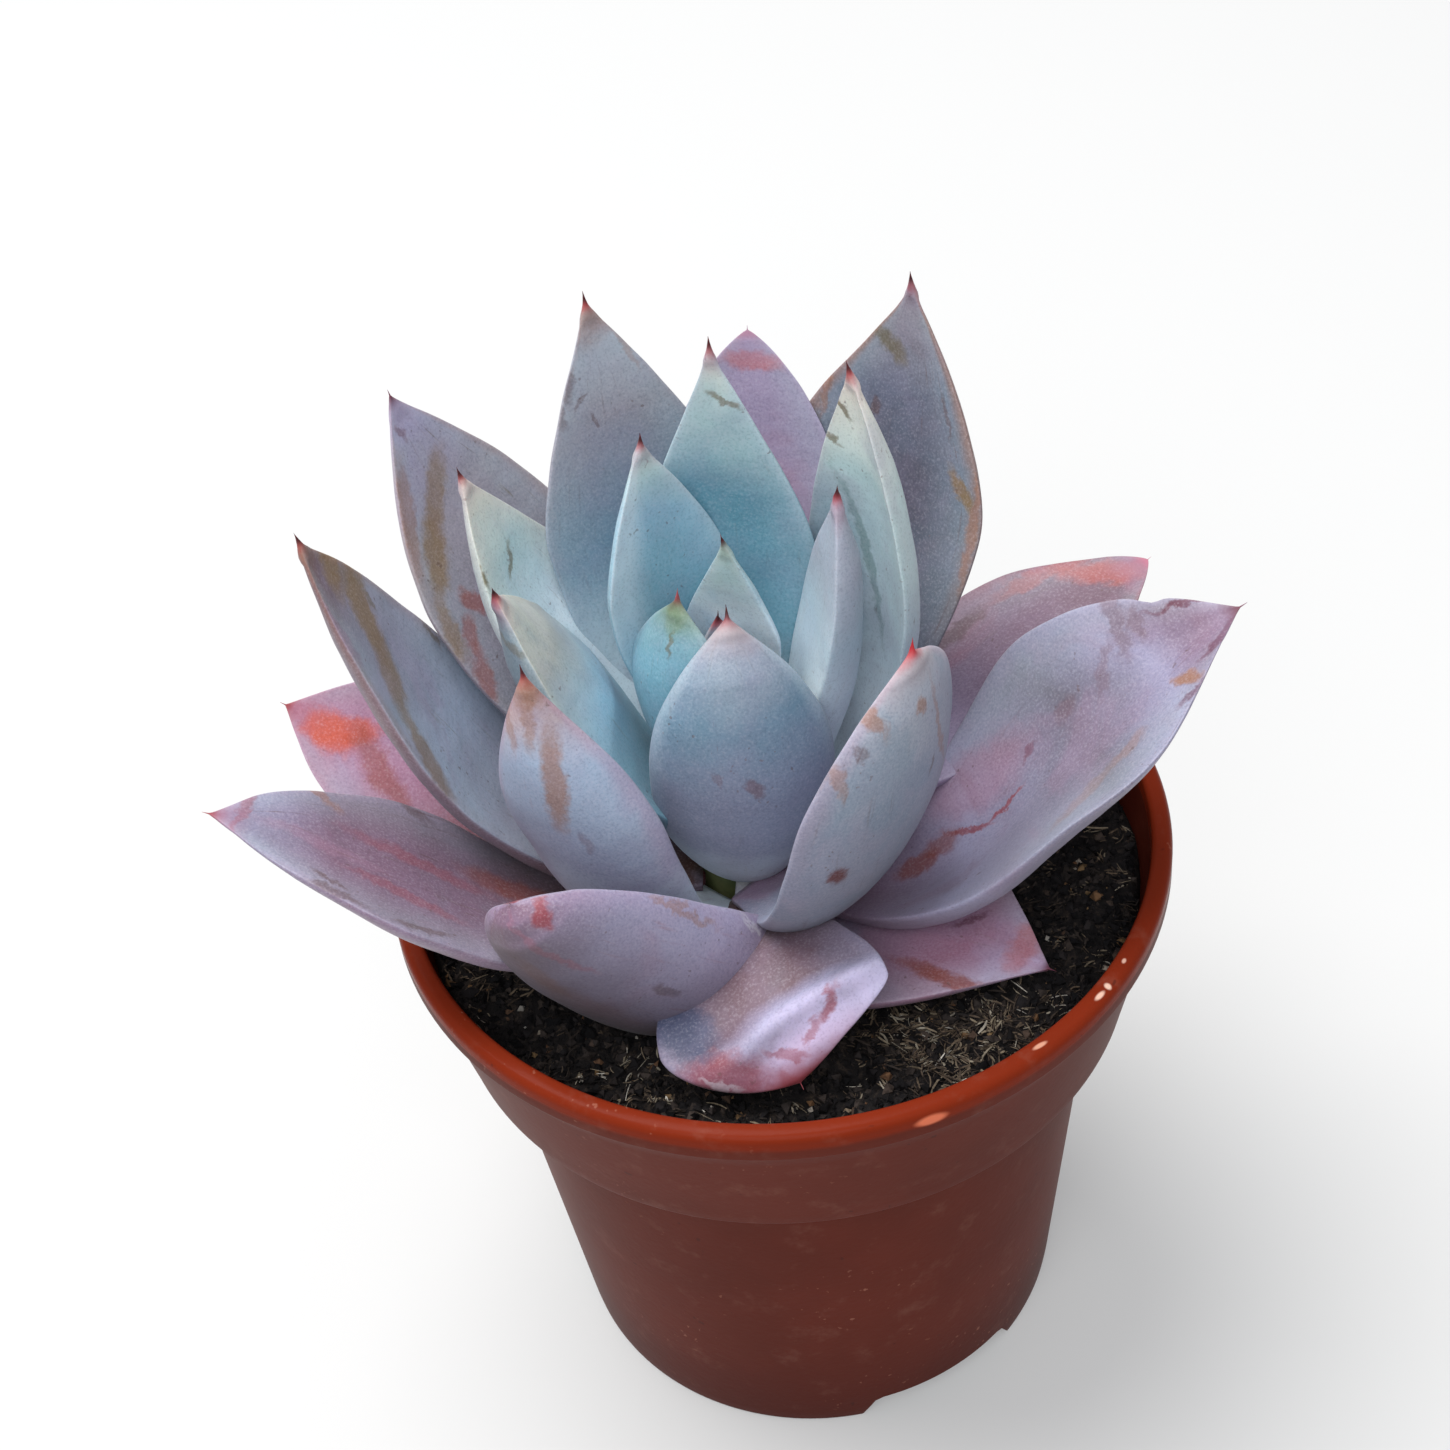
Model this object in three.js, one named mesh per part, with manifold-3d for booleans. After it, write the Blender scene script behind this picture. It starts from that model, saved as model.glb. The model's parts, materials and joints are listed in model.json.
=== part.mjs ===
// A potted mexican giant echeveria: a rosette of thick pointed leaves on a short stem,
// in a round plastic nursery pot filled with potting mix.
// Millimetres, +Z up. The origin is the middle of the pot's flat underside.

import * as THREE from "three";
import { mergeVertices } from "three/addons/utils/BufferGeometryUtils.js";
import Module from "manifold-3d";

const wasm = await Module();
wasm.setup();

// Pot
const POT_HEIGHT = 100;
const RIM_RADIUS = 60;
const LIP_WIDTH = 3.2;
const LIP_DEPTH = 5;
const COLLAR_TOP_RADIUS = 58.6;
const COLLAR_FOOT_RADIUS = 54;
const COLLAR_HEIGHT = 27;
const BODY_TOP_RADIUS = 49;
const BASE_RADIUS = 41.5;
const WALL = 1.6;
const FLOOR_THICKNESS = 2.2;
const POT_SIDES = 48;
const DRAIN_HOLES = 3;
const DRAIN_RADIUS = 4;
const DRAIN_CIRCLE = 27;
const DRAIN_SIDES = 16;
const NOTCHES = 3;
const FIRST_NOTCH_DEG = 297;
const NOTCH_WIDTH = 30;
const NOTCH_TOP_WIDTH = 24;
const NOTCH_HEIGHT = 5;
const NOTCH_DEPTH = 6;

// Potting mix
const SOIL_LEVEL = 91;
const SOIL_SIDES = 40;
const SOIL_RINGS = 6;

// Stem
const STEM_X = -5;
const STEM_RADIUS = 8;
const STEM_FOOT = 80;
const STEM_TOP = 126;
const STEM_SIDES = 16;

// Pieces that touch in life are modelled this far apart.
const GAP = 0.35;

// Leaf mesh
const LEAF_ROWS = 10;
const LEAF_RING = 10;
const TIP_BIAS = 1.25;
const THINNEST = 0.8;

const LEAF_DEFAULTS = {
  rise: [30, 75], width: 28, thick: 6.5, roll: [0, 0], cup: 0.18, fold: 0,
  belly: 0.58, root: 0.45, waist: 1.3, taper: 1.8, point: 1.1, thinning: 0.75, bow: 0, full: 1,
  skew: 0,
};

// Each leaf runs from its base to its tip, both given as azimuth in degrees, distance from
// the stem's axis and height. rise is the slope in degrees at which it leaves the base and
// reaches the tip, and aim the azimuth at which it does so, where that isn't the chord's.
// width and thick are the blade's largest sizes, belly says how far along it is widest, root
// how wide the base is beside that, and waist how late it widens. taper and point shape the
// end, and thinning is the share of its thickness that the blade loses there. cup hollows
// the upper face, fold creases it along the middle, roll turns the blade about its own
// length, bow bends it sideways, full lengthens its curve, and skew brings the tip over to
// one margin.
// The innermost leaves come first: a later leaf gives way where two would meet.
const LEAVES = [
  { name: "leaf_heart_bud", tone: "inner", base: [100, 1, 121], tip: [100, 1.5, 143], aim: [100, 100],
    rise: [80, 90], width: 8, thick: 4 },
  { name: "leaf_heart_back", tone: "inner", base: [60, 2.5, 121], tip: [60, 2.5, 156], aim: [60, 60],
    rise: [75, 97], width: 15, thick: 4, taper: 1.3, belly: 0.5 },
  { name: "leaf_heart_left", tone: "inner", base: [225, 3, 112], tip: [205, 6, 151], aim: [222, 222],
    rise: [55, 105], width: 23, thick: 5 },
  { name: "leaf_front_centre", tone: "middle", base: [272, 5, 101], tip: [280, 6, 150], aim: [274, 274],
    rise: [40, 120], width: 27, root: 0.6, belly: 0.5, taper: 2.4 },
  { name: "leaf_centre_left", tone: "inner", base: [140, 4, 114], tip: [130, 13, 169], aim: [125, 125],
    rise: [60, 90], width: 21, thick: 5.5, taper: 1.5 },
  { name: "leaf_right_centre", tone: "inner", base: [355, 5, 110], tip: [5, 18, 163], rise: [60, 85],
    width: 16.5, thick: 8 },
  { name: "leaf_back_centre", tone: "inner", base: [82, 6, 112], tip: [82, 17, 179], rise: [60, 90],
    width: 26, taper: 1.35, point: 1.15, belly: 0.5 },
  { name: "leaf_left_inner", tone: "inner", base: [190, 4, 107], tip: [188, 31, 156], rise: [32, 82],
    width: 34, bow: -3, belly: 0.48, root: 0.6 },
  { name: "leaf_right_channelled", tone: "inner", base: [15, 5, 104], tip: [30, 24, 176], rise: [15, 95],
    width: 22, cup: 0.45, bow: -4 },
  { name: "leaf_left_pale", tone: "inner", base: [158, 5, 107], tip: [157, 38, 163], rise: [40, 80],
    width: 25, taper: 1.6, bow: -1 },
  { name: "leaf_back_left", tone: "middle", base: [115, 6, 106], tip: [115, 35, 179], rise: [45, 80],
    width: 30, taper: 1.5 },
  { name: "leaf_front_right", tone: "middle", base: [311, 8, 98], tip: [318, 34, 155], rise: [15, 95],
    width: 38, root: 0.6, bow: -3.5, taper: 3.2, skew: 0.12 },
  { name: "leaf_front_left", tone: "middle", base: [226, 9, 93], tip: [215, 33, 154], rise: [20, 90],
    width: 25, root: 0.65, roll: [-15, -45], bow: 4.5 },
  { name: "leaf_back_right", tone: "middle", base: [42, 6, 102], tip: [47, 47, 175], rise: [20, 95],
    width: 37, taper: 1.8, point: 1.4, bow: 1 },
  { name: "leaf_left_streaked", tone: "outer", base: [145, 7, 101], tip: [145, 55, 166], rise: [25, 80],
    width: 34, taper: 1.7, bow: -2 },
  { name: "leaf_left_long", tone: "outer", base: [187, 7, 95], tip: [178, 57, 164], rise: [3, 75],
    width: 29, taper: 2.1 },
  { name: "leaf_back_pink", tone: "outer", base: [80, 6, 98], tip: [80, 47, 161], rise: [30, 75],
    width: 31, point: 0.8 },
  { name: "leaf_right_back_pink", tone: "outer", base: [20, 7, 97], tip: [25, 75, 120], rise: [20, 20],
    width: 30, point: 0.8 },
  { name: "leaf_right_large", tone: "outer", base: [333, 13, 94], tip: [357, 74.5, 139], aim: [-36, 4],
    rise: [0, 34], width: 40, fold: 0.25, roll: [0, -20], root: 0.42, waist: 2, taper: 2.2,
    full: 1.2, skew: -0.05 },
  { name: "leaf_left_low_pink", tone: "outer", base: [170, 6, 94], tip: [168, 70, 123], rise: [5, 38],
    width: 32, roll: [0, 30], taper: 2.4, bow: -1.5 },
  { name: "leaf_low_left", tone: "outer", base: [218, 9, 92], tip: [195, 77, 134], aim: [212, 182],
    rise: [0, 24], width: 30, belly: 0.66, root: 0.6, taper: 1.6, bow: 2 },
  { name: "leaf_stub", tone: "stub", base: [280, 5, 100], tip: [283, 17, 91], rise: [-15, -45], width: 11,
    thick: 6, point: 0.4 },
  { name: "leaf_low_front_left", tone: "outer", base: [287, 14, 92], tip: [230, 50, 129], aim: [250, 208],
    rise: [0, 62], width: 27, thick: 9, roll: [-68, -50], point: 0.5, root: 0.42, taper: 2.1,
    thinning: 0.45 },
  { name: "leaf_front_low", tone: "outer", base: [280, 12, 95], tip: [276, 48, 95], aim: [270, 305],
    rise: [35, -40], width: 35, roll: [0, -30], belly: 0.8, root: 0.4, waist: 4, taper: 1.3,
    point: 0.75, thinning: 0.35, bow: 1.5, full: 1.4 },
  { name: "leaf_low_front_right", tone: "outer", base: [318, 11, 91], tip: [325, 53, 95], rise: [5, 0],
    width: 38, belly: 0.5, taper: 1.15, point: 1 },
  { name: "leaf_back_low_left", tone: "outer", base: [130, 7, 95], tip: [128, 60, 118], rise: [5, 45],
    width: 27 },
  { name: "leaf_back_low", tone: "outer", base: [98, 7, 93], tip: [98, 64, 112], rise: [5, 40], width: 28 },
  { name: "leaf_back_low_right", tone: "outer", base: [60, 7, 94], tip: [60, 62, 114], rise: [5, 40],
    width: 28 },
];

const TONES = {
  inner: new THREE.MeshStandardMaterial({ color: 0x8fbcc0, roughness: 0.62, metalness: 0 }),
  middle: new THREE.MeshStandardMaterial({ color: 0x9aaabb, roughness: 0.62, metalness: 0 }),
  outer: new THREE.MeshStandardMaterial({ color: 0xb59ab0, roughness: 0.6, metalness: 0 }),
  stub: new THREE.MeshStandardMaterial({ color: 0x7d9088, roughness: 0.4, metalness: 0 }),
};
const TERRACOTTA = new THREE.MeshStandardMaterial({ color: 0x96432b, roughness: 0.45, metalness: 0 });
const PEAT = new THREE.MeshStandardMaterial({ color: 0x241d18, roughness: 0.95, metalness: 0 });
const GREEN_STEM = new THREE.MeshStandardMaterial({ color: 0x7b8a55, roughness: 0.6, metalness: 0 });

// Geometry with shared corners and no flat triangles, from any three.js geometry.
function closedShell(geometry) {
  geometry.deleteAttribute("normal");
  geometry.deleteAttribute("uv");
  const merged = mergeVertices(geometry, 1e-4);
  const corners = [];
  const index = merged.getIndex().array;
  for (let i = 0; i < index.length; i += 3) {
    const [a, b, c] = [index[i], index[i + 1], index[i + 2]];
    if (a !== b && b !== c && c !== a) {
      corners.push(a, b, c);
    }
  }
  merged.setIndex(corners);
  return merged;
}

function toSolid(geometry) {
  const shell = closedShell(geometry);
  const mesh = new wasm.Mesh({
    numProp: 3,
    vertProperties: new Float32Array(shell.getAttribute("position").array),
    triVerts: new Uint32Array(shell.getIndex().array),
  });
  return new wasm.Manifold(mesh);
}

function toGeometry(solid) {
  const mesh = solid.getMesh();
  const geometry = new THREE.BufferGeometry();
  geometry.setAttribute("position", new THREE.BufferAttribute(new Float32Array(mesh.vertProperties), 3));
  geometry.setIndex(Array.from(mesh.triVerts));
  geometry.computeVertexNormals();
  return geometry;
}

// The biggest body of a cut solid, without the crumbs that a cut can leave.
function mainBody(solid) {
  const bodies = solid.decompose();
  bodies.sort((a, b) => b.volume() - a.volume());
  return bodies[0];
}

// A profile of [radius, height] pairs, turned about the pot's axis.
function turned(profile, sides) {
  const points = profile.map(([radius, height]) => new THREE.Vector2(radius, height));
  const geometry = new THREE.LatheGeometry(points, sides);
  geometry.rotateX(Math.PI / 2);
  return geometry;
}

function potProfile() {
  const step = POT_HEIGHT - COLLAR_HEIGHT;
  const lipFoot = POT_HEIGHT - LIP_DEPTH;
  const innerRim = RIM_RADIUS - LIP_WIDTH;
  return [
    [0, 0],
    [BASE_RADIUS - 0.6, 0],
    [BASE_RADIUS, 0.7],
    [BODY_TOP_RADIUS, step - 0.8],
    [COLLAR_FOOT_RADIUS - 0.8, step - 0.8],
    [COLLAR_FOOT_RADIUS, step],
    [COLLAR_TOP_RADIUS, lipFoot],
    [RIM_RADIUS, lipFoot + 1.2],
    [RIM_RADIUS, POT_HEIGHT - 1.2],
    [RIM_RADIUS - 1.2, POT_HEIGHT],
    [innerRim + 0.6, POT_HEIGHT],
    [innerRim, POT_HEIGHT - 1],
    [COLLAR_FOOT_RADIUS - WALL, step + WALL - 0.8],
    [BODY_TOP_RADIUS - WALL, step + WALL - 0.8],
    [BASE_RADIUS - WALL, FLOOR_THICKNESS],
    [0, FLOOR_THICKNESS],
  ];
}

function drainHole(number) {
  const turn = (2 * Math.PI * number) / DRAIN_HOLES + THREE.MathUtils.degToRad(FIRST_NOTCH_DEG + 60);
  const hole = new THREE.CylinderGeometry(DRAIN_RADIUS, DRAIN_RADIUS, 4 * FLOOR_THICKNESS, DRAIN_SIDES);
  hole.rotateX(Math.PI / 2);
  hole.translate(DRAIN_CIRCLE * Math.cos(turn), DRAIN_CIRCLE * Math.sin(turn), 0);
  return toSolid(hole);
}

// The space of one low arch at the pot's foot, where water runs out, larger by grow.
function drainNotch(number, grow) {
  const foot = NOTCH_WIDTH / 2 + grow;
  const top = NOTCH_TOP_WIDTH / 2 + grow;
  const arch = new THREE.Shape();
  arch.moveTo(-foot, -NOTCH_HEIGHT);
  arch.lineTo(foot, -NOTCH_HEIGHT);
  arch.lineTo(foot, 0);
  arch.lineTo(top, NOTCH_HEIGHT + grow);
  arch.lineTo(-top, NOTCH_HEIGHT + grow);
  arch.lineTo(-foot, 0);
  const notch = new THREE.ExtrudeGeometry(arch, { depth: 2 * NOTCH_DEPTH + grow, bevelEnabled: false });
  notch.translate(0, 0, -NOTCH_DEPTH - grow);
  notch.rotateX(Math.PI / 2);
  notch.rotateZ(Math.PI / 2);
  notch.translate(BASE_RADIUS, 0, 0);
  notch.rotateZ(THREE.MathUtils.degToRad(FIRST_NOTCH_DEG) + (2 * Math.PI * number) / NOTCHES);
  return toSolid(notch);
}

function makePot() {
  let pot = toSolid(turned(potProfile(), POT_SIDES));
  for (let i = 0; i < DRAIN_HOLES; i += 1) {
    pot = pot.subtract(drainHole(i));
  }
  for (let i = 0; i < NOTCHES; i += 1) {
    pot = pot.subtract(drainNotch(i, 0));
  }
  return pot;
}

// Height of the potting mix above its level, in gentle lumps.
function soilRelief(x, y) {
  const lumps = 0.7 * Math.sin(0.21 * x + 1.3) * Math.cos(0.18 * y - 0.6);
  const crumbs = 0.45 * Math.sin(0.47 * x - 0.33 * y) + 0.3 * Math.cos(0.61 * y + 0.29 * x + 2);
  return lumps + crumbs;
}

function makeSoil() {
  const clear = WALL + GAP;
  const step = POT_HEIGHT - COLLAR_HEIGHT + WALL - 0.8 + GAP;
  const wallSlope = (RIM_RADIUS - LIP_WIDTH - COLLAR_FOOT_RADIUS + WALL) / (COLLAR_HEIGHT - WALL);
  const edge = COLLAR_FOOT_RADIUS - clear + wallSlope * (SOIL_LEVEL - step);
  const holeRadius = STEM_RADIUS + GAP;
  const profile = [
    [0, FLOOR_THICKNESS + GAP],
    [BASE_RADIUS - clear, FLOOR_THICKNESS + GAP],
    [BODY_TOP_RADIUS - clear, step],
    [COLLAR_FOOT_RADIUS - clear, step],
    [edge, SOIL_LEVEL],
  ];
  for (let i = 1; i <= SOIL_RINGS; i += 1) {
    profile.push([edge + ((holeRadius - edge) * i) / SOIL_RINGS, SOIL_LEVEL]);
  }
  profile.push([holeRadius, STEM_FOOT - GAP], [0, STEM_FOOT - GAP]);
  const geometry = turned(profile, SOIL_SIDES);
  const position = geometry.getAttribute("position");
  for (let i = 0; i < position.count; i += 1) {
    const x = position.getX(i);
    const y = position.getY(i);
    const radius = Math.hypot(x, y);
    if (position.getZ(i) > SOIL_LEVEL - 0.01) {
      position.setX(i, x + STEM_X * (1 - (radius - holeRadius) / (edge - holeRadius)));
      const inward = Math.min(1, (edge - radius) / 6);
      position.setZ(i, SOIL_LEVEL + inward * soilRelief(x, y));
    } else if (position.getZ(i) > STEM_FOOT - 1 && radius < holeRadius + 0.1) {
      position.setX(i, x + STEM_X);
    }
  }
  let soil = toSolid(geometry);
  for (let i = 0; i < NOTCHES; i += 1) {
    soil = soil.subtract(drainNotch(i, GAP));
  }
  return soil;
}

function makeStem(grow) {
  const profile = [
    [0, STEM_FOOT],
    [STEM_RADIUS - 1.5 + grow, STEM_FOOT],
    [STEM_RADIUS - 0.5 + grow, 86],
    [STEM_RADIUS - 0.3 + grow, 94],
    [STEM_RADIUS - 1 + grow, 104],
    [STEM_RADIUS - 2.5 + grow, 114],
    [STEM_RADIUS - 4.5 + grow, 121],
    [0, STEM_TOP + grow],
  ];
  const geometry = turned(profile, STEM_SIDES);
  geometry.translate(STEM_X, 0, 0);
  return toSolid(geometry);
}

// A place from its azimuth, distance from the stem's axis and height.
function placed([azimuth, radius, height]) {
  const turn = THREE.MathUtils.degToRad(azimuth);
  return new THREE.Vector3(STEM_X + radius * Math.cos(turn), radius * Math.sin(turn), height);
}

function heading(azimuthRad, riseDeg) {
  const rise = THREE.MathUtils.degToRad(riseDeg);
  return new THREE.Vector3(
    Math.cos(azimuthRad) * Math.cos(rise), Math.sin(azimuthRad) * Math.cos(rise), Math.sin(rise));
}

function halfWidth(leaf, along) {
  if (along < leaf.belly) {
    const swell = Math.sin((Math.PI / 2) * (along / leaf.belly)) ** leaf.waist;
    return (leaf.width / 2) * (leaf.root + (1 - leaf.root) * swell);
  }
  const past = (along - leaf.belly) / (1 - leaf.belly);
  return (leaf.width / 2) * Math.max(0, 1 - past ** leaf.taper) ** leaf.point;
}

// Distance across the blade and height over its middle, at one angle round the section.
function section(leaf, along, angle) {
  const half = halfWidth(leaf, along);
  const across = Math.cos(angle);
  const up = Math.sin(angle);
  const fade = 1 - leaf.thinning * Math.max(0, (along - 0.35) / 0.65) ** 1.5;
  const body = leaf.thick * fade * Math.min(1, 0.35 + (0.65 * half) / (0.3 * leaf.width));
  const thick = Math.max(body, THINNEST);
  const height = (up > 0 ? 0.22 : 0.78) * thick * up;
  const hollow = leaf.cup * half * across ** 2;
  const crease = leaf.fold * half * (Math.sqrt(across ** 2 + 0.01) - 0.1);
  return new THREE.Vector2(half * across, height + hollow + crease);
}

// The section's corners, each moved outward by grow.
function outline(leaf, along, grow) {
  const corners = [];
  for (let i = 0; i < LEAF_RING; i += 1) {
    corners.push(section(leaf, along, (2 * Math.PI * i) / LEAF_RING));
  }
  return corners.map((corner, i) => {
    const before = corners[(i + LEAF_RING - 1) % LEAF_RING];
    const after = corners[(i + 1) % LEAF_RING];
    const first = corner.clone().sub(before).normalize();
    const second = after.clone().sub(corner).normalize();
    const outward = new THREE.Vector2(first.y + second.y, -first.x - second.x).normalize();
    const square = Math.max(0.5, outward.x * first.y - outward.y * first.x);
    return corner.clone().addScaledVector(outward, grow / square);
  });
}

// Centreline, blade direction and face direction at a place along a leaf.
function leafFrame(leaf, along) {
  const start = placed(leaf.base);
  const end = placed(leaf.tip);
  const run = end.clone().sub(start);
  const chord = Math.atan2(run.y, run.x);
  const aims = leaf.aim ? leaf.aim.map(THREE.MathUtils.degToRad) : [chord, chord];
  const reach = (run.length() * leaf.full) / 3;
  const first = start.clone().addScaledVector(heading(aims[0], leaf.rise[0]), reach);
  const second = end.clone().addScaledVector(heading(aims[1], leaf.rise[1]), -reach);
  const curve = new THREE.CubicBezierCurve3(start, first, second, end);
  const turn = THREE.MathUtils.lerp(aims[0], aims[1], along);
  const level = new THREE.Vector3(-Math.sin(turn), Math.cos(turn), 0);
  const way = curve.getTangent(along);
  const point = curve.getPoint(along).addScaledVector(level, leaf.bow * Math.sin(Math.PI * along));
  const upper = way.clone().cross(level).normalize();
  const side = upper.clone().cross(way);
  const roll = THREE.MathUtils.degToRad(THREE.MathUtils.lerp(leaf.roll[0], leaf.roll[1], along));
  const face = upper.clone().multiplyScalar(Math.cos(roll)).addScaledVector(side, Math.sin(roll));
  const across = side.clone().multiplyScalar(Math.cos(roll)).addScaledVector(upper, -Math.sin(roll));
  const past = along < leaf.belly ? 0 : 1 - (2 * halfWidth(leaf, along)) / leaf.width;
  point.addScaledVector(across, (leaf.skew * leaf.width * (past - along)) / 2);
  return { point, way, face, across };
}

function leafGeometry(leaf, grow) {
  const points = [];
  const corners = [];
  const ends = [];
  for (let row = 0; row < LEAF_ROWS; row += 1) {
    const along = 1 - (1 - row / LEAF_ROWS) ** TIP_BIAS;
    const { point, way, face, across } = leafFrame(leaf, along);
    if (row === 0) {
      point.addScaledVector(way, -grow);
      ends.push(point.clone().addScaledVector(face, leaf.cup * 0.5));
    }
    for (const corner of outline(leaf, along, grow)) {
      points.push(point.clone().addScaledVector(across, corner.x).addScaledVector(face, corner.y));
    }
  }
  const tip = leafFrame(leaf, 1);
  ends.push(tip.point.addScaledVector(tip.way, grow));
  points.push(...ends);
  const basePole = points.length - 2;
  const tipPole = points.length - 1;
  for (let row = 0; row < LEAF_ROWS; row += 1) {
    for (let i = 0; i < LEAF_RING; i += 1) {
      const next = (i + 1) % LEAF_RING;
      const a = row * LEAF_RING + i;
      const b = row * LEAF_RING + next;
      if (row === 0) {
        corners.push(basePole, b, a);
      }
      if (row === LEAF_ROWS - 1) {
        corners.push(a, b, tipPole);
      } else {
        corners.push(a, b, b + LEAF_RING, a, b + LEAF_RING, a + LEAF_RING);
      }
    }
  }
  const geometry = new THREE.BufferGeometry().setFromPoints(points);
  geometry.setIndex(corners);
  return geometry;
}

function leafSolid(leaf, grow) {
  const solid = toSolid(leafGeometry(leaf, grow));
  return solid.volume() < 0 ? toSolid(leafGeometry(leaf, grow).scale(-1, 1, 1)) : solid;
}

function namedMesh(name, solid, material) {
  const mesh = new THREE.Mesh(toGeometry(solid), material);
  mesh.name = name;
  return mesh;
}

const plant = new THREE.Group();
const stem = makeStem(0);
plant.add(namedMesh("stem", stem, GREEN_STEM));

let taken = makeStem(GAP);
for (const shape of LEAVES) {
  const leaf = { ...LEAF_DEFAULTS, ...shape };
  const body = mainBody(leafSolid(leaf, 0).subtract(taken));
  plant.add(namedMesh(leaf.name, body, TONES[leaf.tone]));
  taken = taken.add(leafSolid(leaf, GAP));
}

const potted = new THREE.Group();
potted.add(namedMesh("pot", makePot(), TERRACOTTA));
potted.add(namedMesh("soil", mainBody(makeSoil().subtract(taken)), PEAT));
potted.add(plant);

export default potted;
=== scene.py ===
"""A potted mexican giant echeveria: waxy leaves, fibrous potting mix and a moulded nursery pot."""
import json
import math
import random

import bpy
import numpy as np
from mathutils import Matrix, Vector, noise


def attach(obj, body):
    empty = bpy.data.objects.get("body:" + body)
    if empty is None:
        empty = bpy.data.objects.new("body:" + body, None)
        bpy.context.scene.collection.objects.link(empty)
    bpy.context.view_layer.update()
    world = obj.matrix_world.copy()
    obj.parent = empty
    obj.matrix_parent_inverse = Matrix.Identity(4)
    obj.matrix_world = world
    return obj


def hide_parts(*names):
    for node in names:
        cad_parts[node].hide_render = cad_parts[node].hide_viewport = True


MM = 0.001

# Camera, in metres and unit vectors, with its lens and sensor in millimetres
CAMERA_PLACE = (0.0, -0.2674, 0.3644)
CAMERA_FORWARD = (-0.017, 0.741, -0.671)
CAMERA_UP = (0.101, 0.669, 0.736)
CAMERA_LENS = 60.6
CAMERA_SENSOR = 36

# Studio: lights as name, place, size, power and colour
WORLD_STRENGTH = 0.45
WORLD_COLOUR = (0.93, 0.96, 1.0, 1.0)
LIGHTS = [
    ("key", (-0.6, 0.36, 2.1), 1.7, 57, (1.0, 0.99, 0.97)),
    ("fill", (-0.3, -1.6, 1.9), 1.75, 28, (0.97, 0.99, 1.0)),
]
LIGHTS_AIM = (0, 0, 0.1)
FLOOR_REACH = 3000
FLOOR_COLOUR = (180, 180, 180)
FLOOR_GLOW = 0.23

# Pot, in millimetres
POT_HEIGHT = 100
RIM_RADIUS = 60
LIP_WIDTH = 3.2
LIP_DEPTH = 5
COLLAR_TOP_RADIUS = 58.6
COLLAR_FOOT_RADIUS = 54
COLLAR_HEIGHT = 27
BODY_TOP_RADIUS = 49
BASE_RADIUS = 41.5
WALL = 1.6
FLOOR_THICKNESS = 2.2
POT_SIDES = 180
DRAIN_HOLES = 3
DRAIN_RADIUS = 4
DRAIN_CIRCLE = 27
NOTCHES = 3
FIRST_NOTCH_DEG = 297
NOTCH_WIDTH = 30
NOTCH_TOP_WIDTH = 24
NOTCH_HEIGHT = 5
NOTCH_DEPTH = 6
SHARP_EDGE_DEG = 38

# Small rounds of the pot's profile
FOOT_ROUND = 0.8
STEP_ROUND = 0.7
LIP_FOOT_ROUND = 0.5
LIP_OUTER_ROUND = 1.5
LIP_INNER_ROUND = 0.9

# Pot colours. The lip's own colour begins LIP_TINT_DEPTH below its top. A mark is its colour,
# centre, half sizes, turn in degrees and strength.
POT_BODY_DARK = (82, 32, 22)
POT_BODY_LIGHT = (92, 37, 26)
# Painted shade that darkens the body towards the foot
POT_FOOT_SHADE = (70, 26, 20)
POT_LIP = (116, 38, 18)
POT_DUST = (150, 110, 96)
POT_SCUFF = (176, 120, 100)
POT_PIT = (52, 24, 20)
LIP_TINT_DEPTH = 2.6
POT_MARKS = [
    ((226, 186, 166), (43, -40, 99.6), (1.1, 0.4, 0.8), 45, 0.9),
    ((226, 190, 170), (44.4, -38.4, 99.7), (0.5, 0.6, 0.6), 30, 0.9),
    ((222, 180, 160), (47.5, -34, 99.8), (0.5, 0.3, 0.6), 60, 0.8),
    ((216, 116, 84), (17, -57.6, 98), (2.3, 3, 0.9), 0, 0.95),
    ((206, 150, 126), (33.3, -48, 100), (1.2, 0.35, 0.8), 30, 0.9),
    ((226, 214, 206), (-8.7, -44.6, 13), (0.45, 0.8, 0.45), 0, 0.9),
]

# Pieces that touch in life are modelled this far apart.
GAP = 0.35

# Stem: its side lies inside the full radius, by an inset at each height.
STEM_X = -5
STEM_RADIUS = 8
STEM_FOOT = 80
STEM_TOP = 126
STEM_SIDES = 40
STEM_INSETS = [(1.5, STEM_FOOT), (0.5, 86), (0.3, 90), (0.3, 94), (0.6, 99), (1, 104), (1.7, 109),
               (2.5, 114), (4.5, 121)]
STEM_DARK = (82, 96, 58)
STEM_LIGHT = (128, 132, 88)

# Potting mix, whose surface drops a little where it meets the wall
SOIL_LEVEL = 91
SOIL_EDGE = 55.4
SOIL_RINGS = 70
SOIL_SIDES = 200
SOIL_DROP = 1.5
SOIL_DROP_FROM = 0.97
SOIL_COLOURS = [(0.3, (14, 13, 14)), (0.52, (32, 29, 29)), (0.64, (56, 48, 43)), (0.78, (92, 80, 66))]

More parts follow.
